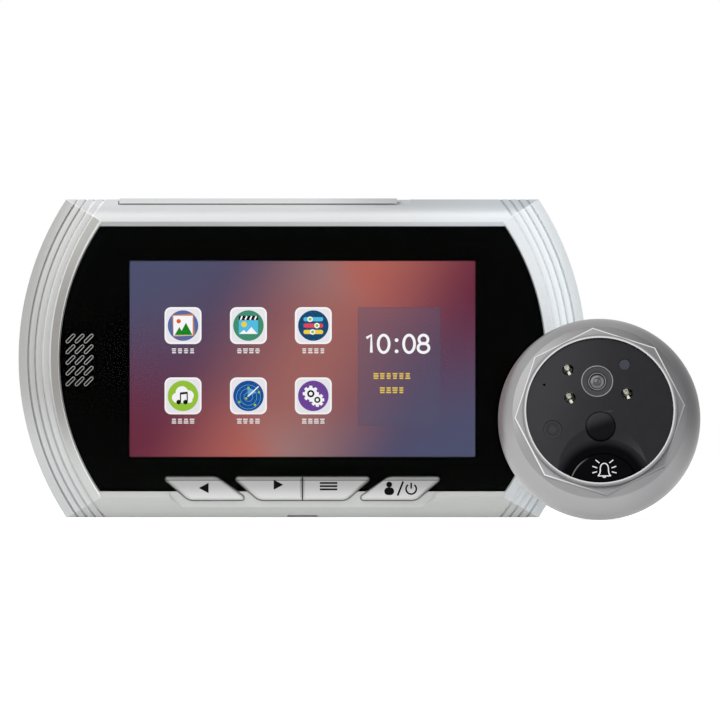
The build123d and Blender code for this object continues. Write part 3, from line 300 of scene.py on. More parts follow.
# the mitres run inwards from the casing's corners: where each starts, and how steeply it rises
mitres = {
    "cornerX": casingHigh.x - sideArc["rise"],
    "high": (casingHigh.z, -0.622),
    "low": (0.0, 0.58),
    "width": 0.3,
    "reach": 9.7,
    "windowX": 55.6,
}
keyPad = {"low": 3.0, "high": 12.0, "halfSpan": 42.0}
coverSeat = {"low": 84.0, "high": 87.4, "halfSpan": 52.0}
# parts of a face's normal beyond which it counts as a front, a wall, a level ledge or an upright side
facing = {"front": -0.1, "wall": 0.3, "ledge": 0.8, "side": 0.95}
# painted light and shade of the casing's front, as tones or as factors on a tone; plain, for faces that don't face
# the front, is the paint's own tone
casingTonesAndPaintedLight = {
    "plain": (0.88, 0.885, 0.885),
    "left": (0.68, 0.672, 0.65),
    "leftFoot": (0.93, 0.93, 0.915),
    "right": (1.1, 1.14, 1.15),
    "highLeft": (0.85, 0.84, 0.835),
    "highRight": (0.98, 1.015, 1.035),
    "lowLeft": (0.88, 0.885, 0.85),
    "lowRight": (0.91, 0.915, 0.88),
    "crestLeft": 1.3,
    "crestRight": (0.85, 0.86, 0.87),
    "highLipLeft": 1.02,
    "highLipRight": 1.35,
    "grooveLeft": 1.3,
    "grooveFoot": 0.97,
    "grooveRight": 1.0,
    "grooveHighLeft": 1.5,
    "grooveHighRight": (0.85, 0.86, 0.88),
    "innerLeft": (0.62, 0.6, 0.585),
    "innerHead": (0.85, 0.84, 0.82),
    "innerFoot": (1.0, 1.0, 0.98),
    "innerRight": (1.04, 1.03, 1.03),
    "lipLeft": (1.35, 1.35, 1.33),
    "lipRight": 1.0,
    "ribLight": 1.07,
    "ribDark": 0.95,
    "mitreHighLeft": 1.28,
    "mitre": 1.1,
    "coverGap": 1.6,
    "paintedLitWall": 1.6,
    "footWall": 1.12,
    "keyPadShadow": 0.03,
}
# where each change of painted light and shade starts and ends, across, upwards, inwards or in depth
casingFades = {
    "rightHalf": (-10, 10),
    "highHalf": (40, 50),
    "sideStart": (34, 35),
    "leftFoot": (38, 16),
    "highTone": (10, 60),
    "crestTone": (0, 30),
    "crest": (83.5, 86.5),
    "highLipTone": (-50, 40),
    "highLip": (80, 81.4),
    "lowTone": (-40, 10),
    "halfHeight": (36, 12),
    "foot": (45, 25),
    "paintedLitGrooves": (5.2, 5.8),
    "grooveDepth": (-1, -3),
}


def casingPlaces(shader):
    # where a point of the casing lies: on which side or end, and how far in from the curved side
    at = split(objectVector(shader))
    at.normal = faceNormal(shader)
    at.sideX = abs(at.x)
    at.onRight = fade(at.x, casingFades["rightHalf"])
    at.high = fade(at.z, casingFades["highHalf"])
    at.towardsFoot = fade(at.z, casingFades["foot"])
    at.fromCorner = mitres["cornerX"] * mm - at.sideX
    at.overHighMitre, at.overLowMitre = (
        at.z - (at.fromCorner * slope + start * mm) for start, slope in (mitres["high"], mitres["low"])
    )
    at.onEnds = (at.overHighMitre > 0.0) | (at.overLowMitre < 0.0) | (at.sideX < mitres["windowX"] * mm)
    at.fromMiddle = at.z - sideArc["middle"] * mm
    at.inwards = sideArc["radius"] * mm - distance(at.sideX - sideArc["centreX"] * mm, at.fromMiddle)
    at.outer = fade(at.sideX, casingFades["sideStart"])
    at.onSides = at.outer * (1.0 - at.onEnds)
    return at


def toned(share, first, second):
    # from one of the casing's tones to another
    return blend(share, casingTonesAndPaintedLight[first], casingTonesAndPaintedLight[second])


def sideTone(at):
    # painted shade on the left side, lighter towards its foot, and painted light on the right side
    left = toned(fade(at.z, casingFades["leftFoot"]), "left", "leftFoot")
    return blend(at.onRight, left, casingTonesAndPaintedLight["right"])


def endTone(at):
    # above and below the window, painted light and shade: lighter to the right above, and a painted highlight
    # along the top crest on the left and along the upper lip on the right
    above = toned(fade(at.x, casingFades["highTone"]), "highLeft", "highRight")
    crest = toned(fade(at.x, casingFades["crestTone"]), "crestLeft", "crestRight")
    above = tinted(above, fade(at.z, casingFades["crest"]), crest)
    lip = toned(fade(at.x, casingFades["highLipTone"]), "highLipLeft", "highLipRight")
    above = tinted(above, band(at.z, *casingFades["highLip"]), lip)
    below = toned(fade(at.x, casingFades["lowTone"]), "lowLeft", "lowRight")
    return blend(at.high, below, above)


def addRibs(at, tone):
    # painted shading: each rib falls from light to dark inwards
    fall = fade((at.inwards - ribs["start"] * mm) % (ribs["pitch"] * mm), (ribs["groove"], ribs["pitch"]))
    onRibs = band(at.inwards, ribs["start"], ribs["end"]) * at.onSides
    return tinted(tone, onRibs, toned(fall, "ribLight", "ribDark"))


def addInnerBand(at, tone):
    # painted shade on the flat band inside the last groove, darkest at half height on the left, and a painted
    # highlight on the lip beside the window, brightest on the left
    end = toned(at.high, "innerFoot", "innerHead")
    left = blend(fade(abs(at.fromMiddle), casingFades["halfHeight"]), end, casingTonesAndPaintedLight["innerLeft"])
    onBand = band(at.inwards, ribs["end"], lipEdge["start"]) * at.onSides
    tone = tinted(tone, onBand, blend(at.onRight, left, casingTonesAndPaintedLight["innerRight"]))
    start, soft = lipEdge["start"], lipEdge["soft"]
    onLip = fade(at.inwards, (start - soft, start + soft)) * at.onSides
    return tinted(tone, onLip, toned(at.onRight, "lipLeft", "lipRight"))


def addGrooves(at, tone):
    # painted light in the grooves, which lifts their shade, most in the top bevel's grooves on the left
    left = toned(at.towardsFoot, "grooveLeft", "grooveFoot")
    side = blend(at.onRight, left, casingTonesAndPaintedLight["grooveRight"])
    high = toned(at.onRight, "grooveHighLeft", "grooveHighRight")
    groove = blend(at.onEnds, side, blend(at.high, 1.0, high))
    for number in range(ribs["count"]):
        place = ribs["start"] + number * ribs["pitch"]
        tone = tinted(tone, band(at.inwards, place, place + ribs["groove"]) * at.outer, groove)
    return tone


def addMitres(at, tone):
    # a painted highlight: a light line where side and end meet, brightest on the upper left
    tint = toned(at.high * (1.0 - at.onRight), "mitre", "mitreHighLeft")
    alongMitre = band(at.fromCorner, 0.0, mitres["reach"])
    half = mitres["width"] / 2
    for over in (at.overHighMitre, at.overLowMitre):
        tone = tinted(tone, band(over, -half, half) * alongMitre, tint)
    return tone


def addWalls(at, tone):
    # painted light on the walls of the gaps round the cover on top and in most grooves, and a painted shadow,
    # black, on the walls round the keys
    wall = abs(at.normal.y) < facing["wall"]
    coverWall, keyPadShadow = (
        wall * band(at.z, seat["low"], seat["high"]) * (at.sideX < seat["halfSpan"] * mm)
        for seat in (coverSeat, keyPad)
    )
    tone = blend(coverWall, tone, casingTonesAndPaintedLight["coverGap"])
    # the two outer grooves on the left get less painted light on their walls
    paintedLitSide = at.onRight | fade(at.inwards, casingFades["paintedLitGrooves"])
    headTone = toned(paintedLitSide, "plain", "paintedLitWall")
    footTone = toned(at.onEnds | at.onRight, "footWall", "paintedLitWall")
    inRibs = band(at.inwards, ribs["start"] - ribs["wallReach"], ribs["end"] + ribs["wallReach"]) * at.outer
    deep = fade(at.y, casingFades["grooveDepth"])
    ribWall = wall * deep * inRibs * (abs(at.normal.z) < facing["ledge"])
    tone = blend(ribWall, tone, blend(at.towardsFoot, headTone, footTone))
    return blend(keyPadShadow, tone, casingTonesAndPaintedLight["keyPadShadow"])


def casingSilver():
    # satin silver paint with painted light and shade: each side gets its own painted tone, with painted light and
    # dark along ribs, lips and mitres
    shader, shade = speckled("casing_silver", (0.6, 0.61, 0.62), roughness=0.38, metallic=0.4, spread=0.03,
                             grain=4000, bump=0.03)
    at = casingPlaces(shader)
    tone = blend(at.onEnds, sideTone(at), endTone(at))
    for addDetail in (addRibs, addInnerBand, addGrooves, addMitres):
        tone = addDetail(at, tone)
    tone = blend(at.normal.y < facing["front"], casingTonesAndPaintedLight["plain"], tone)
    setColour(shader, multiplied(shade, addWalls(at, tone)))


# the keys' own tone on the face, with painted light towards the foot, painted shade on the top edge and painted
# shadow on the walls
keyTonesAndPaintedLight = {
    "face": 0.41,
    "foot": (0.66, 0.665, 0.66),
    "footFade": (9.5, 4.9),
    "lip": (0.1, 0.1, 0.102),
    "lipPlaces": (10.1, 10.4),
    "lipSoft": 0.1,
    "edge": 0.3,
    "edgePlaces": (10.4, 11.2),
    "edgeSoft": 0.08,
    "wall": 0.01,
    "sideWall": 0.9,
}


def keySilver():
    # painted shade on the top edge, a grey band over a dark line; a painted shadow, black, on the walls, but
    # painted light on the walls between two keys; the face gets lighter towards its foot
    shader, shade = speckled("key_silver", (1, 1, 1), roughness=0.36, metallic=0.4, spread=0.03, grain=4000,
                             bump=0.03)
    z = split(objectVector(shader)).z
    tone = blend(fade(z, keyTonesAndPaintedLight["footFade"]), keyTonesAndPaintedLight["face"], keyTonesAndPaintedLight["foot"])
    for part in ("lip", "edge"):
        onPart = band(z, *keyTonesAndPaintedLight[part + "Places"], keyTonesAndPaintedLight[part + "Soft"])
        tone = blend(onPart, tone, keyTonesAndPaintedLight[part])
    normal = faceNormal(shader)
    wallTone = blend(abs(normal.x) > facing["side"], keyTonesAndPaintedLight["wall"], keyTonesAndPaintedLight["sideWall"])
    tone = blend(abs(normal.y) < facing["wall"], tone, wallTone)
    setColour(shader, multiplied(shade, tone))


# Painted light and shade on the outdoor unit's plating: tones, and where they change, as shares of the rim's
# radius or in millimetres
platingPaintedLight = {
    "light": (0.33, 0.325, 0.328),
    "top": (0.275, 0.273, 0.276),
    "lowRight": (0.3, 0.298, 0.305),
    "low": (0.385, 0.378, 0.384),
    "dark": (0.105, 0.105, 0.11),
    "shoulder": 0.72,
    "octagonTop": (0.26, 0.26, 0.265),
    "octagonDark": (0.14, 0.14, 0.145),
    "edgeLight": (0.74, 0.73, 0.73),
    "edgeDark": (0.24, 0.24, 0.25),
    "ringOuter": (0.22, 0.22, 0.225),
    "ringInner": 0.46,
    "darkTurn": radians(20),
    "darkShares": (0.4, 0.98),
    "highShares": (-0.75, 0.3),
    "topShares": (0.5, 0.85),
    "lowRightFade": (4, 18),
    "shoulderFade": (23.8, 23.5),
    "edgeFade": (-2, 30),
    "chamferFade": (12.82, 12.86),
    "octagonTopFade": (13.16, 13.19),
    "octagonToneFade": (-10, 18),
    "ringFade": (20.96, 20.88),
    "ringLineFade": (20.4, 20.24),
}


def bezelMetal():
    # satin plating with painted light and shade: a broad painted change of tone round the dome, and painted
    # highlights as thin bright edges on octagon and ring
    shader, shade = speckled("bezel_metal", (1, 1, 1), roughness=0.36, metallic=0.8, spread=0.04, grain=3000,
                             bump=0.02)
    place = split(objectVector(shader, centre=cameraOrigin))
    upward, level = along(place, cameraUp), along(place, cameraAxis)
    radius = distance(place.x, upward)
    height = upward / (rimRadius * mm)
    # painted shade: the darkest side is on the right, a little above the middle
    slant = place.x * cos(platingPaintedLight["darkTurn"]) + upward * sin(platingPaintedLight["darkTurn"])
    lowTone = blend(fade(place.x, platingPaintedLight["lowRightFade"]), platingPaintedLight["low"], platingPaintedLight["lowRight"])
    tone = blend(smoothStep(height, *platingPaintedLight["highShares"]), lowTone, platingPaintedLight["light"])
    tone = blend(smoothStep(height, *platingPaintedLight["topShares"]), tone, platingPaintedLight["top"])
    tone = blend(smoothStep(slant / (rimRadius * mm), *platingPaintedLight["darkShares"]), tone, platingPaintedLight["dark"])
    # painted shade on the shoulder between the dome and the octagon
    tone = blend(fade(radius, platingPaintedLight["shoulderFade"]), tone, multiplied(tone, platingPaintedLight["shoulder"]))
    # painted highlight and shade: the octagon's bevel is bright on the upper left and dim on the lower right
    edge = blend(fade(place.x - upward, platingPaintedLight["edgeFade"]), platingPaintedLight["edgeLight"], platingPaintedLight["edgeDark"])
    tone = blend(fade(level, platingPaintedLight["chamferFade"]), tone, edge)
    # painted shade on the octagon's top, darker to the right
    acrossFlat = fade(place.x, platingPaintedLight["octagonToneFade"])
    flatTone = blend(acrossFlat, platingPaintedLight["octagonTop"], platingPaintedLight["octagonDark"])
    tone = blend(fade(level, platingPaintedLight["octagonTopFade"]), tone, flatTone)
    # painted highlight on the ring: a thin bright line inside a darker one
    ringTone = blend(fade(radius, platingPaintedLight["ringLineFade"]), platingPaintedLight["ringOuter"], platingPaintedLight["ringInner"])
    tone = blend(fade(radius, platingPaintedLight["ringFade"]), tone, ringTone)
    setColour(shader, multiplied(shade, tone))


casingSilver()
keySilver()
bezelMetal()

cameraFace = {
    "callCentre": (0.90, -21.15),
    "callRadius": 9.3,
    "scoopRadius": 13.4,
    "lensCentre": (-0.68, 8.02),
    "lensLevel": 14.5,
    "glassRadius": 2.2,
    "lampCentres": ((-8.58, 11.27), (-8.08, 3.49), (7.38, 4.69)),
    "lampRadius": 1.45,
    "indicatorCentre": (-12.77, -5.19),
    "domeCentre": (0.20, -4.39),
    "domeRadius": 4.0,
}
facePaintedLight = {
    "scoopEdge": (0.0215, 0.021, 0.0245),
    "scoop": (0.0035, 0.0035, 0.0045),
    "scoopFade": 2.4,
    "glint": (0.16, 0.145, 0.13),
    "glintInset": (0.5, 0.15),
    "glintSoft": 0.12,
    "glintFade": (-3.5, -7),
    "shine": 0.2,
}
domePaintedReflection = {"lit": (0.032, 0.031, 0.036), "slope": 0.35, "shares": (-0.15, 0.75)}
# rings and spots: where each fades in, counted from its centre, and its colour
indicatorRings = (((1.9, 2.2), (0.035, 0.034, 0.038)), ((1.3, 0.7), (0.028, 0.026, 0.03)))
# the lens's middle and rim are darker than the ring of painted pale reflection between them
lensRings = (((1.35, 1.1), (0.045, 0.045, 0.05)), ((1.75, 2.1), (0.05, 0.05, 0.055)))


def faceCoordinates(shader, centre):
    # place in the face, counted from a centre: to the right, and up
    place = split(objectVector(shader, centre=cameraOrigin))
    return place.x - centre[0] * mm, along(place, cameraUp) - centre[1] * mm


def addRings(shader, tone, centre, rings):
    reach = distance(*faceCoordinates(shader, centre))
    for places, colour in rings:
        tone = blend(fade(reach, places), tone, colour)
    setColour(shader, tone)


def faceBlack():
    # gloss black, matt in the scoop round the call button, with painted shade deepening into the scoop and a
    # painted glint on the left of that button's edge
    shader, shade = speckled("face_black", (0.0105, 0.01, 0.0135), roughness=0.16, bump=0, spread=0.08,
                             grain=300)
    right, upward = faceCoordinates(shader, cameraFace["callCentre"])
    reach = distance(right, upward)
    edge, button = cameraFace["scoopRadius"], cameraFace["callRadius"]
    outside = reach > edge * mm
    # painted shade, darker from the scoop's edge in towards the button
    deep = fade(reach, (edge, edge - facePaintedLight["scoopFade"]))
    scoop = blend(deep, facePaintedLight["scoopEdge"], facePaintedLight["scoop"])
    # painted glint along the left of the button's edge
    glint = band(reach, *(button - inset for inset in facePaintedLight["glintInset"]), facePaintedLight["glintSoft"])
    scoop = blend(glint * fade(right, facePaintedLight["glintFade"]), scoop, facePaintedLight["glint"])
    setColour(shader, blend(outside, scoop, shade))
    feed(outside * facePaintedLight["shine"], shader.inputs["Specular IOR Level"])


def domeDark():
    # smoked dome with a painted reflection, lighter towards the top left
    shader, shade = speckled("dome_dark", (0.0025, 0.0025, 0.0035), roughness=0.22, bump=0, shine=0.05)
    right, upward = faceCoordinates(shader, cameraFace["domeCentre"])
    slant = (upward - right * domePaintedReflection["slope"]) / (cameraFace["domeRadius"] * mm)
    lit = smoothStep(slant, *domePaintedReflection["shares"])
    setColour(shader, blend(lit, shade, domePaintedReflection["lit"]))


def indicatorDark():
    # smoked window that hides its lamp: a faint ring and a fainter middle
    shader, shade = speckled("indicator_dark", (0.015, 0.0145, 0.0185), roughness=0.2, bump=0, shine=0.2)
    addRings(shader, shade, cameraFace["indicatorCentre"], indicatorRings)


def lensGlass():
    # coated glass with a painted pale reflection in a ring, darker over the bore in its middle and at its rim
    shader, shade = speckled("lens_glass", (0.1, 0.1, 0.108), roughness=0.1, bump=0, coat=0.5)
    addRings(shader, shade, cameraFace["lensCentre"], lensRings)


clearLook = {"grain": 900, "roughness": (0.5, 1.5), "refraction": 1.49}


def clearPlastic(name, tint, roughness, shine):
    # its reflections are dimmed by their tint, as on a coated sheet
    shader = newMaterial(name)
    values = {"Scale": clearLook["grain"], "Vector": objectVector(shader)}
    scratches = addNode(shader.id_data, "ShaderNodeTexNoise", values, "Fac")
    varyRoughness(shader, scratches, *(roughness * share for share in clearLook["roughness"]))
    setColour(shader, tint)
    feedAll(shader, {"IOR": clearLook["refraction"], "Transmission Weight": 1.0, "Specular Tint": shine})


faceBlack()
domeDark()
indicatorDark()
lensGlass()
clearPlastic("window_acrylic", (0.97, 0.97, 0.98), 0.0, 0.05)
clearPlastic("lamp_clear", (0.62, 0.62, 0.58), 0.03, 0.5)

# The lit picture: a soft wallpaper from slate over salmon to plum, with a pale panel on the right
# its fades run in shares of half its width and height
picture = {
    "centre": (0.0, 43.6),
    "halfSize": (47.52, 26.93),
    "slate": screenColour(77, 80, 108),
    "plum": screenColour(104, 43, 63),
    "salmon": screenColour(156, 98, 94),
    "ember": screenColour(176, 98, 88),
    "haze": screenColour(156, 118, 116),
    "cornerShares": (-0.8, 0.8),
    "ridge": (0.28, 0.06),
    "glowShares": (0.8, 0.0),
    "hazeShares": (0.4, 1.0),
    "emberShares": (0.04, 0.34),
    "panelCentre": (26.7, 41.5),
    "panelHalfSize": (11.4, 16.3),
    "panelTint": screenColour(84, 84, 108),
    "panelShare": 0.45,
    "panelEdge": (0.1, -0.1),
    "borderEdge": (-0.4, -0.15),
    "borderTint": (0.72, 0.72, 0.76),
    "inkLow": 0.94,
    "unlit": 0.0001,
    "roughness": 0.4,
}


def lightUp(shader, colour):
    # a black surface that gives this light
    setColour(shader, picture["unlit"])
    feedAll(shader, {"Roughness": picture["roughness"], "Specular IOR Level": 0.0})
    feedAll(shader, {"Emission Color": colour, "Emission Strength": 1.0})


def addPanel(x, z, colour):
    # the panel behind the clock, with its faint border
    insides, borders = [], []
    for axis, value in enumerate((x, z)):
        centre, half, middle, size = (
            picture[name][axis] for name in ("centre", "halfSize", "panelCentre", "panelHalfSize")
        )
        off = abs(value - (middle - centre) / half)
        insides.append(smoothStep(off, *((size + edge) / half for edge in picture["panelEdge"])))
        borders.append(smoothStep(off, *((size + edge) / half for edge in picture["borderEdge"])))
    inside = insides[0] * insides[1] * picture["panelShare"]
    colour = blend(inside, colour, picture["panelTint"])
    return tinted(colour, (borders[0] | borders[1]) * inside, picture["borderTint"])


def wallpaper():
    shader = newMaterial("display_glass")
    centreX, centreZ = picture["centre"]
    halfX, halfZ = picture["halfSize"]
    place = split(objectVector(shader, (1 / (halfX * mm), 1, 1 / (halfZ * mm)), (centreX, 0, centreZ)))
    x, z = place.x, place.z
    slope, start = picture["ridge"]
    sides = blend(smoothStep(x * z, *picture["cornerShares"]), picture["slate"], picture["plum"])
    glow = smoothStep(abs(x - (z * slope + start)), *picture["glowShares"])
    warm = blend(smoothStep(abs(z), *picture["hazeShares"]), picture["salmon"], picture["haze"])
    warm = blend(smoothStep(x * z, *picture["emberShares"]), warm, picture["ember"])
    colour = addPanel(x, z, blend(glow, sides, warm))
    # black outside the lit area
    lightUp(shader, blend((abs(x) < 1.0) * (abs(z) < 1.0), 0.0, colour))


def litInk(name, colour):
    # one colour of the lit picture, a little lighter towards its top
    shader = newMaterial(name)
    vector = objectVector(shader, (1, 1, 1 / (picture["halfSize"][1] * mm)), (0, 0, picture["centre"][1]))
    low = tuple(level * picture["inkLow"] for level in colour)
    lightUp(shader, blend(smoothStep(split(vector).z, -1.0, 1.0), low, colour))


screenColours = {
    "white": (250, 250, 250),
    "tileGrey": (236, 234, 237),
    "violetBlue": (90, 106, 160),
    "seaGreen": (66, 142, 114),
    "deepBlue": (22, 74, 114),
    "lime": (150, 196, 58),
    "seaBlue": (28, 80, 150),
    "paleBlue": (96, 164, 214),
    "purple": (110, 70, 152),
    "leafGreen": (26, 132, 30),
    "orange": (222, 92, 48),
    "sunYellow": (244, 208, 72),
    "sky": (84, 190, 224),
    "coral": (226, 70, 86),
    "black": (12, 14, 20),
    "wood": (200, 130, 90),
    "dateYellow": (240, 206, 84),
}
wallpaper()
for name, colour in screenColours.items():
    litInk("lit_" + name, screenColour(*colour))

slotOf = {row["node"]: row["material_slot"] for row in frame["record"]["subparts"]}
ownFinish = {"microphone": "mesh_black", "light_sensor": "sensor_blue"}
for name, node in frame["nodes"].items():
    node.data.materials.clear()
    node.data.materials.append(materials[ownFinish.get(name, slotOf[name])])
print("materials made")


# Shapes in the drawing plane: X right, Y up, Z towards the viewer
# how finely they are drawn, and what counts as an edge of the top rim and as a level face
shapes = {
    "discSides": 48,
    "ringSides": (64, 10),
    "capSides": (48, 24),
    "cornerSteps": 6,
    "lineSteps": 2,
    "curveSteps": 6,
    "rimShare": 0.45,
    "levelFace": 0.9,
    "smoothAngle": 35,
}


def planePoint(place, level=0):
    return place[0] * mm, place[1] * mm, level * mm


def offset(centre, step):
    return centre[0] + step[0], centre[1] + step[1]


def setMode(mode):
    bpy.ops.object.mode_set(mode=mode)


def applyTransform():
    bpy.ops.object.transform_apply(location=True, rotation=True, scale=True)


def chosen(pieces):
    bpy.ops.object.select_all(action="DESELECT")
    for piece in pieces:
        piece.select_set(True)
    bpy.context.view_layer.objects.active = pieces[0]


def selectParts(piece, kind, test):
    # leaves the piece in edit mode: an edge is tested by its two ends, and a face by its normal
    setMode("EDIT")
    bpy.ops.mesh.select_mode(type=kind)
    bpy.ops.mesh.select_all(action="DESELECT")
    setMode("OBJECT")
    if kind == "EDGE":
        for edge in piece.data.edges:
            edge.select = test(*(piece.data.vertices[index].co for index in edge.vertices))
    else:
        for face in piece.data.polygons:
            face.select = test(face.normal)
    setMode("EDIT")


def roundEdges(piece, radius, segments, test):
    selectParts(piece, "EDGE", test)
    bpy.ops.mesh.bevel(offset=radius * mm, segments=segments, affect="EDGES")
    setMode("OBJECT")


def roundTop(piece, height, radius, segments):
    # rounds the rim at the top of an upright piece of this height, which still has its middle at its origin
    rim = shapes["rimShare"] * height * mm
    roundEdges(piece, radius, segments, lambda first, second: min(first.z, second.z) > rim)


def disc(centre, radius, level, thickness, sides=shapes["discSides"]):
    bpy.ops.mesh.primitive_cylinder_add(vertices=sides, radius=radius * mm, depth=thickness * mm,
                                        location=planePoint(centre, level + thickness / 2))
    return bpy.context.object


def bar(centre, size, level, thickness, turn=0, rounding=0):
    # a flat bar with upright edges, rounded where a radius is given
    bpy.ops.mesh.primitive_cube_add(size=1, location=planePoint(centre, level + thickness / 2),
                                    rotation=(0, 0, radians(turn)))
    piece = bpy.context.object
    piece.scale = planePoint(size, thickness)
    bpy.ops.object.transform_apply(location=False, rotation=False, scale=True)
    if rounding:
        upright = thickness * mm / 2
        roundEdges(piece, rounding, shapes["cornerSteps"],
                   lambda first, second: abs(first.z - second.z) > upright)
    return piece


def peak(base, width, height, level, thickness, turn=0):
    # a triangle that stands on the middle of its base, then turns about that point
    # with a radius of 1 it is 1.5 high and twice the sine of 60 degrees wide
    bpy.ops.mesh.primitive_cylinder_add(vertices=3, radius=1, depth=1)
    piece = bpy.context.object
    piece.scale = (width * mm / (2 * sin(pi / 3)), height * mm / 1.5, thickness * mm)
    piece.location = (0, height * mm / 3, 0)
    applyTransform()
    piece.rotation_euler = (0, 0, radians(turn))
    piece.location = planePoint(base, level + thickness / 2)
    return piece


def stroke(points, width, level, closed=False, smooth=True, rise=0.5):
    # a drawn line with a low round section
    curve = bpy.data.curves.new("stroke", "CURVE")
    curve.dimensions = "3D"
    curve.bevel_depth = width / 2 * mm
    curve.bevel_resolution = shapes["lineSteps"]
    curve.use_fill_caps = True
    spline = curve.splines.new("NURBS" if smooth else "POLY")
    spline.points.add(len(points) - 1)
    for point, place in zip(spline.points, points):
        point.co = (*planePoint(place), 1)
    spline.use_cyclic_u = closed
    spline.order_u = 3 if smooth else 2
    spline.use_endpoint_u = not closed
    spline.resolution_u = shapes["curveSteps"]
    piece = bpy.data.objects.new("stroke", curve)
    bpy.context.scene.collection.objects.link(piece)
    chosen([piece])
    bpy.ops.object.convert(target="MESH")
    piece = bpy.context.object
    piece.scale = (1, 1, rise)
    piece.location = (0, 0, level * mm)
    applyTransform()
    return piece


def arcPoints(centre, radius, start, end, count):
    turns = [radians(start + (end - start) * step / (count - 1)) for step in range(count)]
    return [offset(centre, (radius * cos(turn), radius * sin(turn))) for turn in turns]


def roundLine(centre, radius, width, level, rise=0.5):
    around, across = shapes["ringSides"]
    bpy.ops.mesh.primitive_torus_add(major_segments=around, minor_segments=across, major_radius=radius * mm,
                                     minor_radius=width / 2 * mm, location=planePoint(centre, level))
    bpy.context.object.scale = (1, 1, rise)
    return bpy.context.object


def finishPiece(pieces, name, finish, body, place, smooth=True):
    # join what was drawn, put it in its place, and give it its finish and its body
    for piece in pieces:
        chosen([piece])
        applyTransform()
    chosen(pieces)
    if len(pieces) > 1:
        bpy.ops.object.join()
    piece = bpy.context.object
    piece.matrix_basis = place
    applyTransform()
    piece.name = name
    piece.data.name = name
    piece.data.materials.clear()
    piece.data.materials.append(materials[finish])
    if smooth:
        bpy.ops.object.shade_smooth_by_angle(angle=radians(shapes["smoothAngle"]))
    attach(piece, body)
    bpy.ops.object.select_all(action="DESELECT")
    return piece


# Signs printed on the keys
keySigns = {
    "level": -0.01,
    "thickness": 0.04,
    "leftArrow": ((-25.8, 8.1), 2.85, 2.7),
    "rightArrow": ((-7.9, 9.0), 2.75, 2.65),
    "menuCentre": (7.2, 8.6),
    "menuBar": (4.8, 0.5),
    "menuSpacing": 0.88,
    "headCentre": (23.87, 9.05),
    "headRadius": 0.8,
    "chest": {"centre": (23.87, 7.2), "size": (2.7, 2.1), "rounding": 1.029},
    "slash": {"centre": (26.95, 7.95), "size": (0.5, 4.2), "turn": -21.5},
    "powerCentre": (29.92, 7.85),
    "powerRadius": 1.42,
    "powerWidth": 0.46,
    "powerGap": 38,
    "powerPoints": 25,
    "powerRise": 0.12,
    "tickCentre": (29.92, 8.7304),
    "tickLength": 1.633,
}


def keySign(pieces, name, body):
    finishPiece(pieces, name, "sign_ink", body, onMonitor(keyFront), smooth=False)


def drawKeySigns():
    level, thick = keySigns["level"], keySigns["thickness"]
    for side, turn in (("left", 90), ("right", -90)):
        arrow = peak(*keySigns[side + "Arrow"], level, thick, turn)
        keySign([arrow], side + "ArrowSign", "key_" + side)
    middleX, middleY = keySigns["menuCentre"]
    rows = [middleY + row * keySigns["menuSpacing"] for row in (-1, 0, 1)]
    keySign([bar((middleX, row), keySigns["menuBar"], level, thick) for row in rows], "menuSign", "key_menu")
    head = disc(keySigns["headCentre"], keySigns["headRadius"], level, thick)
    chest, slash = (bar(level=level, thickness=thick, **keySigns[part]) for part in ("chest", "slash"))
    gap, width = keySigns["powerGap"], keySigns["powerWidth"]
    ringPoints = arcPoints(keySigns["powerCentre"], keySigns["powerRadius"], 90 + gap, 450 - gap,
                           keySigns["powerPoints"])
    ring = stroke(ringPoints, width, level + thick / 2, smooth=False, rise=keySigns["powerRise"])
    tick = bar(keySigns["tickCentre"], (width, keySigns["tickLength"]), level, thick)
    keySign([head, chest, slash, ring, tick], "powerSign", "key_power")


drawKeySigns()
print("key signs drawn")

# Pale beads round the speaker slots
speakerSlots = {
    "centre": (-61.3, 43.3),
    "columns": 3,
    "rows": 5,
    "spacing": (2.5, 2.95),
    "beadLength": 3.14,
    "beadWidth": 0.8,
    "beadThickness": 0.2,
    "beadLevel": -0.06,
    "beadRise": 0.9,
    "turn": 45,
}


def slotBead(centre):
    # the outline of one slot: two half circles joined by straight sides, turned as the slot is
    half = (speakerSlots["beadLength"] - speakerSlots["beadWidth"]) / 2
    radius = speakerSlots["beadWidth"] / 2
    ends = arcPoints((half, 0), radius, -90, 90, 9) + arcPoints((-half, 0), radius, 90, 270, 9)
    turn = radians(speakerSlots["turn"])
    across, up = cos(turn), sin(turn)
    points = [offset(centre, (x * across - y * up, x * up + y * across)) for x, y in ends]
    thickness, level, rise = (speakerSlots["bead" + part] for part in ("Thickness", "Level", "Rise"))
    return stroke(points, thickness, level, closed=True, smooth=False, rise=rise)


def makeSlotBeads():
    middleX, middleY = speakerSlots["centre"]
    stepX, stepY = speakerSlots["spacing"]
    beads = []
    for column in range(speakerSlots["columns"]):
        for row in range(speakerSlots["rows"]):
            x = middleX + (column - (speakerSlots["columns"] - 1) / 2) * stepX
            y = middleY + (row - (speakerSlots["rows"] - 1) / 2) * stepY
            beads.append(slotBead((x, y)))
    finishPiece(beads, "slotBeads", "slot_edge", "monitor", onMonitor(windowFront))


makeSlotBeads()
print("speaker slots edged")

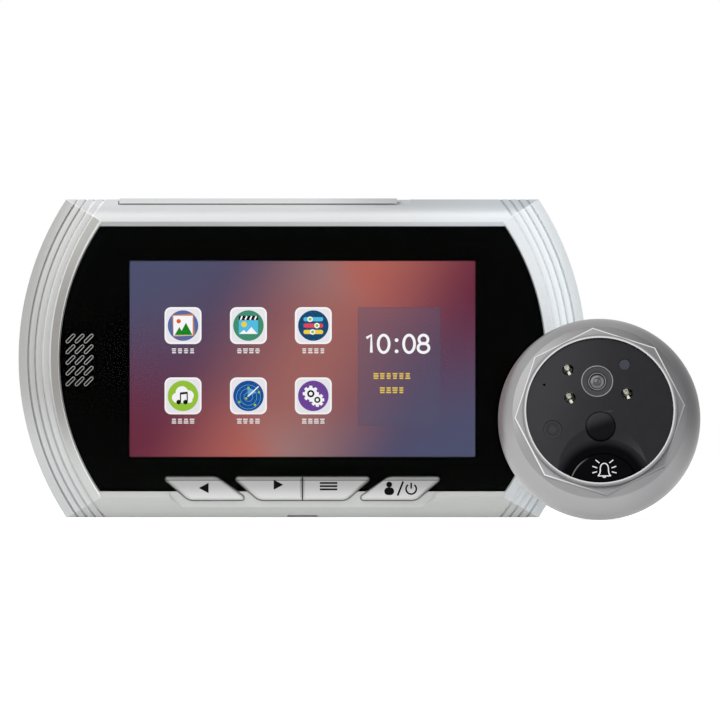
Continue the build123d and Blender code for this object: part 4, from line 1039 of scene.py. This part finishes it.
# Signs of the lit picture, in thin layers between the display and the window
screen = {
    "firstLayer": 0.004,
    "layer": 0.016,
    "sheet": 0.012,
    "columns": (-32.85, -14.86, 3.0),
    "rows": (52.77, 33.43),
    "tile": 10.15,
    "tileRounding": 1.8,
    "tileBorder": 0.45,
    "discRadius": 4.2,
    "dashShares": (0.55, 0.82),
    "labelDrop": 6.95,
    "labelCells": 4,
    "labelCell": 1.66,
    "labelRows": (-0.52, 0, 0.52),
    "labelWeight": 0.26,
    "clockHeight": 47.75,
    "clockPlaces": (18.75, 22.35, 25.9, 29.35, 33.3),
    "digitHalfSize": (1.5, 2.4),
    "digitWeight": 0.76,
    "flagShares": (0.75, 0.66),
    "stemStep": 0.2,
    "colonShares": (0.42, -0.86),
    "dotShare": 0.68,
    "eightShares": ((0.5, 0.82, 0.5), (-0.47, 1, 0.53)),
    "dateCell": 1.75,
    "dateRows": (-0.62, 0, 0.62),
    "dateWeight": 0.36,
    "dateLines": ((24.6, 38.9, 6), (24.6, 35.0, 4)),
}
drawing = {}


def draw(colour, piece):
    drawing.setdefault(colour, []).append(piece)


def layer(number):
    return screen["firstLayer"] + number * screen["layer"]


def sheetDisc(colour, centre, radius, number, sides=shapes["discSides"]):
    draw(colour, disc(centre, radius, layer(number), screen["sheet"], sides))


def sheetBar(colour, centre, size, number, turn=0, rounding=0):
    draw(colour, bar(centre, size, layer(number), screen["sheet"], turn, rounding))


def sheetPeak(colour, base, width, height, number, turn=0):
    draw(colour, peak(base, width, height, layer(number), screen["sheet"], turn))


def sheetLine(colour, points, width, number, closed=False):
    middle = layer(number) + screen["sheet"] / 2
    draw(colour, stroke(points, width, middle, closed, smooth=False, rise=screen["sheet"] / width))


def drawTile(x, y, colour):
    side, border, rounding = screen["tile"], screen["tileBorder"], screen["tileRounding"]
    sheetBar("white", (x, y), (side, side), 0, rounding=rounding)
    sheetBar("tileGrey", (x, y), (side - 2 * border, side - 2 * border), 1, rounding=rounding - border)
    sheetDisc(colour, (x, y), screen["discRadius"], 2, sides=64)


def drawDashes(kind, colour, x, y, cells):
    # a row of short stacked dashes where a label or a date would stand
    cell, rows, weight = (screen[kind + part] for part in ("Cell", "Rows", "Weight"))
    for place in range(cells):
        centre = x + (place - (cells - 1) / 2) * cell
        for step in rows:
            length = cell * random.uniform(*screen["dashShares"])
            sheetBar(colour, (centre, y + step), (length, weight), 0)


# Each icon is drawn about the middle of its tile, with its sizes and places in its calls
def drawGallery(x, y):
    sheetBar("wood", (x + 0.1, y + 0.1), (5.9, 6.0), 3, turn=4)
    sheetBar("white", (x, y), (5.3, 5.4), 4)
    sheetDisc("orange", (x - 1.2, y + 1.2), 0.6, 5)
    sheetPeak("leafGreen", (x - 1.0, y - 2.6), 2.6, 2.2, 5)
    sheetPeak("leafGreen", (x + 0.8, y - 2.6), 3.6, 3.4, 5)


def drawFilm(x, y):
    sheetBar("sky", (x, y - 0.4), (5.3, 3.8), 3)
    sheetBar("black", (x, y + 2.1), (5.3, 1.2), 3)
    for step in range(4):
        sheetBar("white", (x - 1.95 + step * 1.3, y + 2.1), (0.42, 1.15), 4, turn=-24)
    sheetDisc("sunYellow", (x - 1.2, y + 0.35), 0.78, 4)
    sheetPeak("white", (x - 1.3, y - 2.3), 2.5, 1.1, 5)
    sheetPeak("white", (x + 0.8, y - 2.3), 3.4, 1.9, 5)


def drawSliders(x, y):
    for colour, height, knob in (("sky", 1.75, -0.9), ("coral", 0, 1.0), ("sunYellow", -1.75, -0.2)):
        sheetBar(colour, (x, y + height), (5.4, 1.15), 3, rounding=0.5)
        sheetDisc("white", (x + knob, y + height), 0.75, 4)
        sheetDisc("lime", (x + knob, y + height), 0.42, 5)


def drawTune(x, y):
    for right, up, size in ((-1.7, -0.5, 1.35), (-0.3, 0.9, 1.75), (1.5, 0.1, 1.45)):
        sheetDisc("white", (x + right, y + up), size, 3)
    sheetBar("white", (x, y - 1.15), (5.2, 1.5), 4, rounding=0.7)
    for place in (-0.9, 0.95):
        sheetDisc("black", (x + place - 0.3, y - 1.7), 0.62, 5)
        sheetBar("black", (x + place + 0.2, y - 0.5), (0.32, 2.6), 5)
    sheetBar("black", (x + 0.22, y + 0.75), (2.1, 0.6), 5, turn=6)


def drawRadar(x, y):
    sheetPeak("paleBlue", (x + 1.0, y + 1.75), 3.0, 2.3, 3, turn=150)
    for radius in (1.2, 2.3, 3.3):
        sheetLine("paleBlue", arcPoints((x, y - 0.3), radius, 0, 350, 36), 0.14, 4, closed=True)
    sheetBar("white", (x + 1.3, y + 1.2), (4.1, 0.32), 5, turn=43)
    for right, up in ((0, 2.2), (-0.6, -0.7), (-2.5, -1.7), (2.9, 1.0), (1.8, -2.5)):
        sheetDisc("lime", (x + right, y + up), 0.34, 5, sides=24)


def drawGear(centre, radius, teeth, hub):
    sheetDisc("white", centre, radius, 3)
    for tooth in range(teeth // 2):
        sheetBar("white", centre, (2 * radius + 0.9, 0.85), 3, turn=tooth * 360 / teeth)
    sheetDisc("black", centre, hub, 4)
    sheetDisc("white", centre, hub * 0.5, 5)


def drawGears(x, y):
    drawGear((x - 0.7, y + 0.6), 1.75, 8, 1.0)
    drawGear((x + 1.1, y - 1.1), 1.45, 8, 0.85)


def drawOval(centre, halfWidth, halfHeight, count=28):
    turns = [2 * pi * step / count for step in range(count)]
    points = [offset(centre, (halfWidth * cos(turn), halfHeight * sin(turn))) for turn in turns]
    sheetLine("white", points, screen["digitWeight"], 1, closed=True)


def drawClock():
    # plain numbers, as a clock has, drawn with one pen, in shares of a digit's half size
    halfX, halfY = screen["digitHalfSize"]
    weight, middle = screen["digitWeight"], screen["clockHeight"]
    one, zero, colon, otherZero, eight = screen["clockPlaces"]
    flagX, flagY = screen["flagShares"]
    stem = one + screen["stemStep"]
    sheetLine("white", [(one - halfX * flagX, middle + halfY * flagY), (stem, middle + halfY),
                        (stem, middle - halfY)], weight, 1)
    for place in (zero, otherZero):
        drawOval((place, middle), halfX, halfY)
    for step in screen["colonShares"]:
        sheetDisc("white", (colon, middle + halfY * step), weight * screen["dotShare"], 1, sides=24)
    for rise, across, upward in screen["eightShares"]:
        drawOval((eight, middle + halfY * rise), halfX * across, halfY * upward)


def drawScreen():
    icons = (
        (drawGallery, "violetBlue"), (drawFilm, "seaGreen"), (drawSliders, "deepBlue"),
        (drawTune, "lime"), (drawRadar, "seaBlue"), (drawGears, "purple"),
    )
    for number, (icon, colour) in enumerate(icons):
        x = screen["columns"][number % 3]
        y = screen["rows"][number // 3]
        drawTile(x, y, colour)
        icon(x, y)
        drawDashes("label", "white", x, y - screen["labelDrop"], screen["labelCells"])
    drawClock()
    for x, y, cells in screen["dateLines"]:
        drawDashes("date", "dateYellow", x, y, cells)
    for colour, pieces in drawing.items():
        finishPiece(pieces, "screen_" + colour, "lit_" + colour, "monitor",
                    onMonitor(displayFront), smooth=False)


drawScreen()
print("picture drawn")

# Bell sign on the call button, drawn about an upright line to the right of the face's middle
bell = {
    "width": 0.3,
    "level": 14.21,
    "outline": ((-1.75, -18.0), (-1.25, -17.5), (-1.1, -16.6), (-1.1, -15.6), (-0.75, -14.8), (0, -14.45),
                (0.75, -14.8), (1.1, -15.6), (1.1, -16.6), (1.25, -17.5), (1.75, -18.0)),
    "middle": 1.2,
    "clapper": ((-0.5, -18.0), (-0.3, -18.4), (0.3, -18.4), (0.5, -18.0)),
    "rays": (((-1.35, -14.45), (-2.4, -13.6)), ((-1.95, -15.8), (-3.2, -15.35)),
             ((-2.0, -16.85), (-3.25, -17.2))),
}


def bellStroke(points, side=1, smooth=True):
    return stroke([(bell["middle"] + side * x, y) for x, y in points], bell["width"], 0.0, smooth=smooth)


def drawBell():
    outline = bell["outline"]
    foot = (outline[0], outline[-1])
    pieces = [bellStroke(outline), bellStroke(foot, smooth=False), bellStroke(bell["clapper"])]
    for ray in bell["rays"]:
        pieces += [bellStroke(ray, side, smooth=False) for side in (1, -1)]
    finishPiece(pieces, "bellSign", "sign_white", "call_button", onCamera(bell["level"]))


drawBell()
print("bell drawn")

# Lens: trim rings and a domed front glass
lens = {
    "trimRadius": 4.17,
    "trimWidth": 0.3,
    "trimDrop": 0.04,
    "innerRadius": 2.28,
    "innerWidth": 0.2,
    "innerDrop": 0.45,
    "domeRise": 0.75,
    "domeLevel": 13.35,
    "coreRadius": 1.12,
    "coreLevel": 13.86,
    "coreRise": 0.5,
}


def glassCap(centre, radius, level, rise):
    # the upper half of a flattened ball
    place = planePoint(centre, level)
    around, upward = shapes["capSides"]
    bpy.ops.mesh.primitive_uv_sphere_add(segments=around, ring_count=upward, radius=radius * mm,
                                         location=place)
    cap = bpy.context.object
    setMode("EDIT")
    bpy.ops.mesh.select_all(action="SELECT")
    bpy.ops.mesh.bisect(plane_co=place, plane_no=(0, 0, 1), use_fill=True, clear_inner=True)
    setMode("OBJECT")
    cap.scale = (1, 1, rise / radius)
    return cap


def makeLens():
    centre, level = cameraFace["lensCentre"], cameraFace["lensLevel"]
    rings = [roundLine(centre, lens[part + "Radius"], lens[part + "Width"], level - lens[part + "Drop"])
             for part in ("trim", "inner")]
    finishPiece(rings, "lensTrim", "lens_trim", "camera_unit", onCamera())
    dome = glassCap(centre, cameraFace["glassRadius"], lens["domeLevel"], lens["domeRise"])
    glass = finishPiece([dome], "lensDome", "lens_glass", "camera_unit", onCamera())
    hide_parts("lens_glass")
    core = glassCap(centre, lens["coreRadius"], lens["coreLevel"], lens["coreRise"])
    finishPiece([core], "lensCore", "lens_core", "camera_unit", onCamera())


makeLens()
print("lens made")

# Infrared lamps: a clear round nose over a dark well, with the bright cup and post of the lead frame
lamp = {
    "bodyLow": 9.0,
    "noseLevel": 14.06,
    "noseRounding": 0.8,
    "wellRadius": 1.3,
    "wellLevel": 11.6,
    "wellDepth": 0.6,
    "cupPlace": (-0.16, 0.5),
    "cupRadius": 0.54,
    "cupWall": 0.1,
    "cupDepth": 0.35,
    "cupTaper": 0.6,
    "postPlace": (0.26, -0.55),
    "postSize": (0.56, 0.6),
    "postTurn": 25,
    "postRounding": 0.12,
    "frameLevel": 12.7,
    "legPlaces": ((0.635, 0), (-0.635, 0)),
    "legRadius": 0.25,
    "legLow": 7.62,
}
lamp["frameHeight"] = lamp["frameLevel"] - lamp["wellLevel"]


def lampBody(centre):
    height = lamp["noseLevel"] - lamp["bodyLow"]
    piece = disc(centre, cameraFace["lampRadius"], lamp["bodyLow"], height, sides=40)
    roundTop(piece, height, lamp["noseRounding"], 5)
    return piece


def lampCup(centre):
    place = offset(centre, lamp["cupPlace"])
    piece = disc(place, lamp["cupRadius"], lamp["wellLevel"], lamp["frameHeight"], sides=24)
    selectParts(piece, "FACE", lambda normal: normal.z > shapes["levelFace"])
    bpy.ops.mesh.inset(thickness=lamp["cupWall"] * mm)
    bpy.ops.mesh.extrude_region_move(TRANSFORM_OT_translate={"value": (0, 0, -lamp["cupDepth"] * mm)})
    bpy.ops.transform.resize(value=(lamp["cupTaper"], lamp["cupTaper"], 1))
    setMode("OBJECT")
    return piece


def makeLamps():
    bodies, metals, wells = [], [], []
    for centre in cameraFace["lampCentres"]:
        bodies.append(lampBody(centre))
        for step in lamp["legPlaces"]:
            length = lamp["bodyLow"] - lamp["legLow"]
            bodies.append(disc(offset(centre, step), lamp["legRadius"], lamp["legLow"], length, sides=12))
        wellFoot = lamp["wellLevel"] - lamp["wellDepth"]
        wells.append(disc(centre, lamp["wellRadius"], wellFoot, lamp["wellDepth"], sides=32))
        metals.append(lampCup(centre))
        metals.append(bar(offset(centre, lamp["postPlace"]), lamp["postSize"], lamp["wellLevel"],
                          lamp["frameHeight"], lamp["postTurn"], lamp["postRounding"]))
    nose = finishPiece(bodies, "lampNoses", "lamp_clear", "camera_unit", onCamera())
    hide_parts("infrared_lamps")
    finishPiece(metals, "lampLeadFrames", "lamp_metal", "camera_unit", onCamera())
    finishPiece(wells, "lampWells", "lamp_well", "camera_unit", onCamera())


makeLamps()
print("lamps made")

# Casing screws with their cross recesses, in the holes of the back
screws = {
    "headRadius": 2.2,
    "headHeight": 1.2,
    "headRounding": 0.35,
    "recessSize": (2.6, 0.62),
    "recessDepth": 0.8,
    "recessSpare": 0.3,
    "recessTurns": (20, 110),
    "shankRadius": 0.9,
}


def screwHead(centre):
    # drawn with its head up: the recess is cut by two crossed bars
    height, depth = screws["headHeight"], screws["recessDepth"]
    head = disc(centre, screws["headRadius"], 0, height, sides=40)
    roundTop(head, height, screws["headRounding"], 3)
    for turn in screws["recessTurns"]:
        cutter = bar(centre, screws["recessSize"], height - depth, depth + screws["recessSpare"], turn)
        chosen([head])
        cut = head.modifiers.new("recess", "BOOLEAN")
        cut.operation = "DIFFERENCE"
        cut.solver = "EXACT"
        cut.object = cutter
        bpy.ops.object.modifier_apply(modifier=cut.name)
        bpy.data.objects.remove(cutter)
    return head


def makeScrews():
    low, high = boxOf("casing_screws")
    headBack = high.y - screws["headHeight"]
    length = headBack - low.y
    halfX = (high.x - low.x) / 2 - screws["headRadius"]
    halfZ = (high.z - low.z) / 2 - screws["headRadius"]
    pieces = []
    for sideX in (-1, 1):
        for sideZ in (-1, 1):
            centre = (sideX * halfX, (low.z + high.z) / 2 + sideZ * halfZ)
            pieces.append(screwHead(centre))
            pieces.append(disc(centre, screws["shankRadius"], -length, length, sides=16))
    # the drawing plane that faces away: its X is turned, and the pattern is the same both ways
    back = Matrix(((-1, 0, 0, 0), (0, 0, 1, headBack * mm), (0, 1, 0, 0), (0, 0, 0, 1)))
    piece = finishPiece(pieces, "casingScrewSet", "screw_steel", "monitor", back)
    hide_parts("casing_screws")


makeScrews()
print("screws made")

# Threaded barrel: a tube with its flange and a helical thread
barrel = {
    "coreRadius": 6.62,
    "crestRadius": 6.96,
    "sectionRadius": 0.42,
    "boreRadius": 5.5,
    "reach": 38.0,
    "flangeRadius": 11.0,
    "flangeLow": 2.0,
    "flangeHeight": 1.6,
    "pitch": 1.0,
    "steps": 40,
    "threadEnd": -1.8,
}


def tube(radius, low, height):
    # stands along Z: its rim faces are inset and bridged into a bore
    piece = disc((0, 0), radius, low, height, sides=64)
    selectParts(piece, "FACE", lambda normal: abs(normal.z) > shapes["levelFace"])
    bpy.ops.mesh.inset(thickness=(radius - barrel["boreRadius"]) * mm)
    bpy.ops.mesh.bridge_edge_loops()
    setMode("OBJECT")
    return piece


def makeThread():
    # a three-sided section goes round the tube and down it, one pitch a turn
    middle = barrel["crestRadius"] - barrel["sectionRadius"]
    bpy.ops.mesh.primitive_circle_add(vertices=3, radius=barrel["sectionRadius"] * mm,
                                      location=planePoint((middle, 0), barrel["threadEnd"]),
                                      rotation=(pi / 2, pi / 2, 0))
    thread = bpy.context.object
    applyTransform()
    turn = thread.modifiers.new("thread", "SCREW")
    turn.axis = "Z"
    turn.screw_offset = -barrel["pitch"] * mm
    turn.iterations = int((barrel["reach"] + barrel["threadEnd"]) / barrel["pitch"]) - 1
    turn.steps = barrel["steps"]
    turn.render_steps = barrel["steps"]
    turn.use_smooth_shade = False
    bpy.ops.object.modifier_apply(modifier=turn.name)
    setMode("EDIT")
    bpy.ops.mesh.select_all(action="SELECT")
    bpy.ops.mesh.fill_holes(sides=3)
    bpy.ops.mesh.select_all(action="SELECT")
    bpy.ops.mesh.normals_make_consistent(inside=False)
    setMode("OBJECT")
    return thread


def makeBarrel():
    core = tube(barrel["coreRadius"], -barrel["reach"], barrel["reach"] + barrel["flangeLow"])
    flange = tube(barrel["flangeRadius"], barrel["flangeLow"], barrel["flangeHeight"])
    piece = finishPiece([core, flange, makeThread()], "barrelWithThread", "barrel_brass", "camera_unit",
                        onCamera())
    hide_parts("threaded_barrel")


makeBarrel()
print("barrel made")

# Studio: soft light, a pale floor and a white background
studio = {
    "floorSize": 6.0,
    "floorShade": 0.8,
    "floorRoughness": 0.8,
    "floorShine": 0.1,
    "floorLift": 0.62,
    "worldLight": 0.5,
    "aim": (0, 0, 0.04),
    "keyPlace": (-0.6, -1.0, 0.9),
    "keyPower": 13.0,
    "keySize": (1.7, 1.4),
    "fillPlace": (0.9, -0.9, 0.4),
    "fillPower": 3.5,
    "fillSize": (1.1, 1.1),
}


def seenThrough(tree):
    # 1 for what the camera sees, straight or by gloss and glass
    rays = addNode(tree, "ShaderNodeLightPath", {}).socket.node.outputs
    camera, gloss, glass = (Level(rays[f"Is {kind} Ray"]) for kind in ("Camera", "Glossy", "Transmission"))
    return camera | gloss | glass


def setWorld():
    world = bpy.data.worlds.new("studioWorld")
    bpy.context.scene.world = world
    world.use_nodes = True
    tree = world.node_tree
    tree.nodes.clear()
    output = tree.nodes.new("ShaderNodeOutputWorld")
    soft, white = (addNode(tree, "ShaderNodeBackground", {"Color": 1.0, "Strength": strength})
                   for strength in (studio["worldLight"], 1.0))
    mix = addNode(tree, "ShaderNodeMixShader", {0: seenThrough(tree), 1: soft, 2: white})
    feed(mix, output.inputs["Surface"])


def areaLight(kind):
    light = bpy.data.lights.new(kind + "Light", "AREA")
    light.shape = "RECTANGLE"
    light.size, light.size_y = studio[kind + "Size"]
    light.energy = studio[kind + "Power"]
    lightObject = bpy.data.objects.new(kind + "Light", light)
    bpy.context.scene.collection.objects.link(lightObject)
    lightObject.location = studio[kind + "Place"]
    direction = Vector(studio["aim"]) - Vector(studio[kind + "Place"])
    lightObject.rotation_euler = direction.to_track_quat("-Z", "Y").to_euler()


def makeFloor():
    bpy.ops.mesh.primitive_plane_add(size=studio["floorSize"], location=(0, 0, 0))
    floor = bpy.context.object
    floor.name = "floor"
    shader = newMaterial("floor_pale")
    lift = seenThrough(shader.id_data) * studio["floorLift"]
    setColour(shader, studio["floorShade"])
    feedAll(shader, {"Roughness": studio["floorRoughness"], "Specular IOR Level": studio["floorShine"]})
    feedAll(shader, {"Emission Color": 1.0, "Emission Strength": lift})
    floor.data.materials.append(materials["floor_pale"])


setWorld()
areaLight("key")
areaLight("fill")
makeFloor()

view = {"place": (0.01584, -5.0125, 0.0433), "lens": 909, "sensor": 36, "farthest": 50}
camera = bpy.data.cameras.new("camera")
cameraObject = bpy.data.objects.new("camera", camera)
bpy.context.scene.collection.objects.link(cameraObject)
cameraObject.location = view["place"]
cameraObject.rotation_euler = (radians(90), 0, 0)
camera.lens = view["lens"]
camera.sensor_width = view["sensor"]
camera.clip_end = view["farthest"]
bpy.context.scene.camera = cameraObject
bpy.context.scene.view_settings.view_transform = "Standard"

print("scene finished")
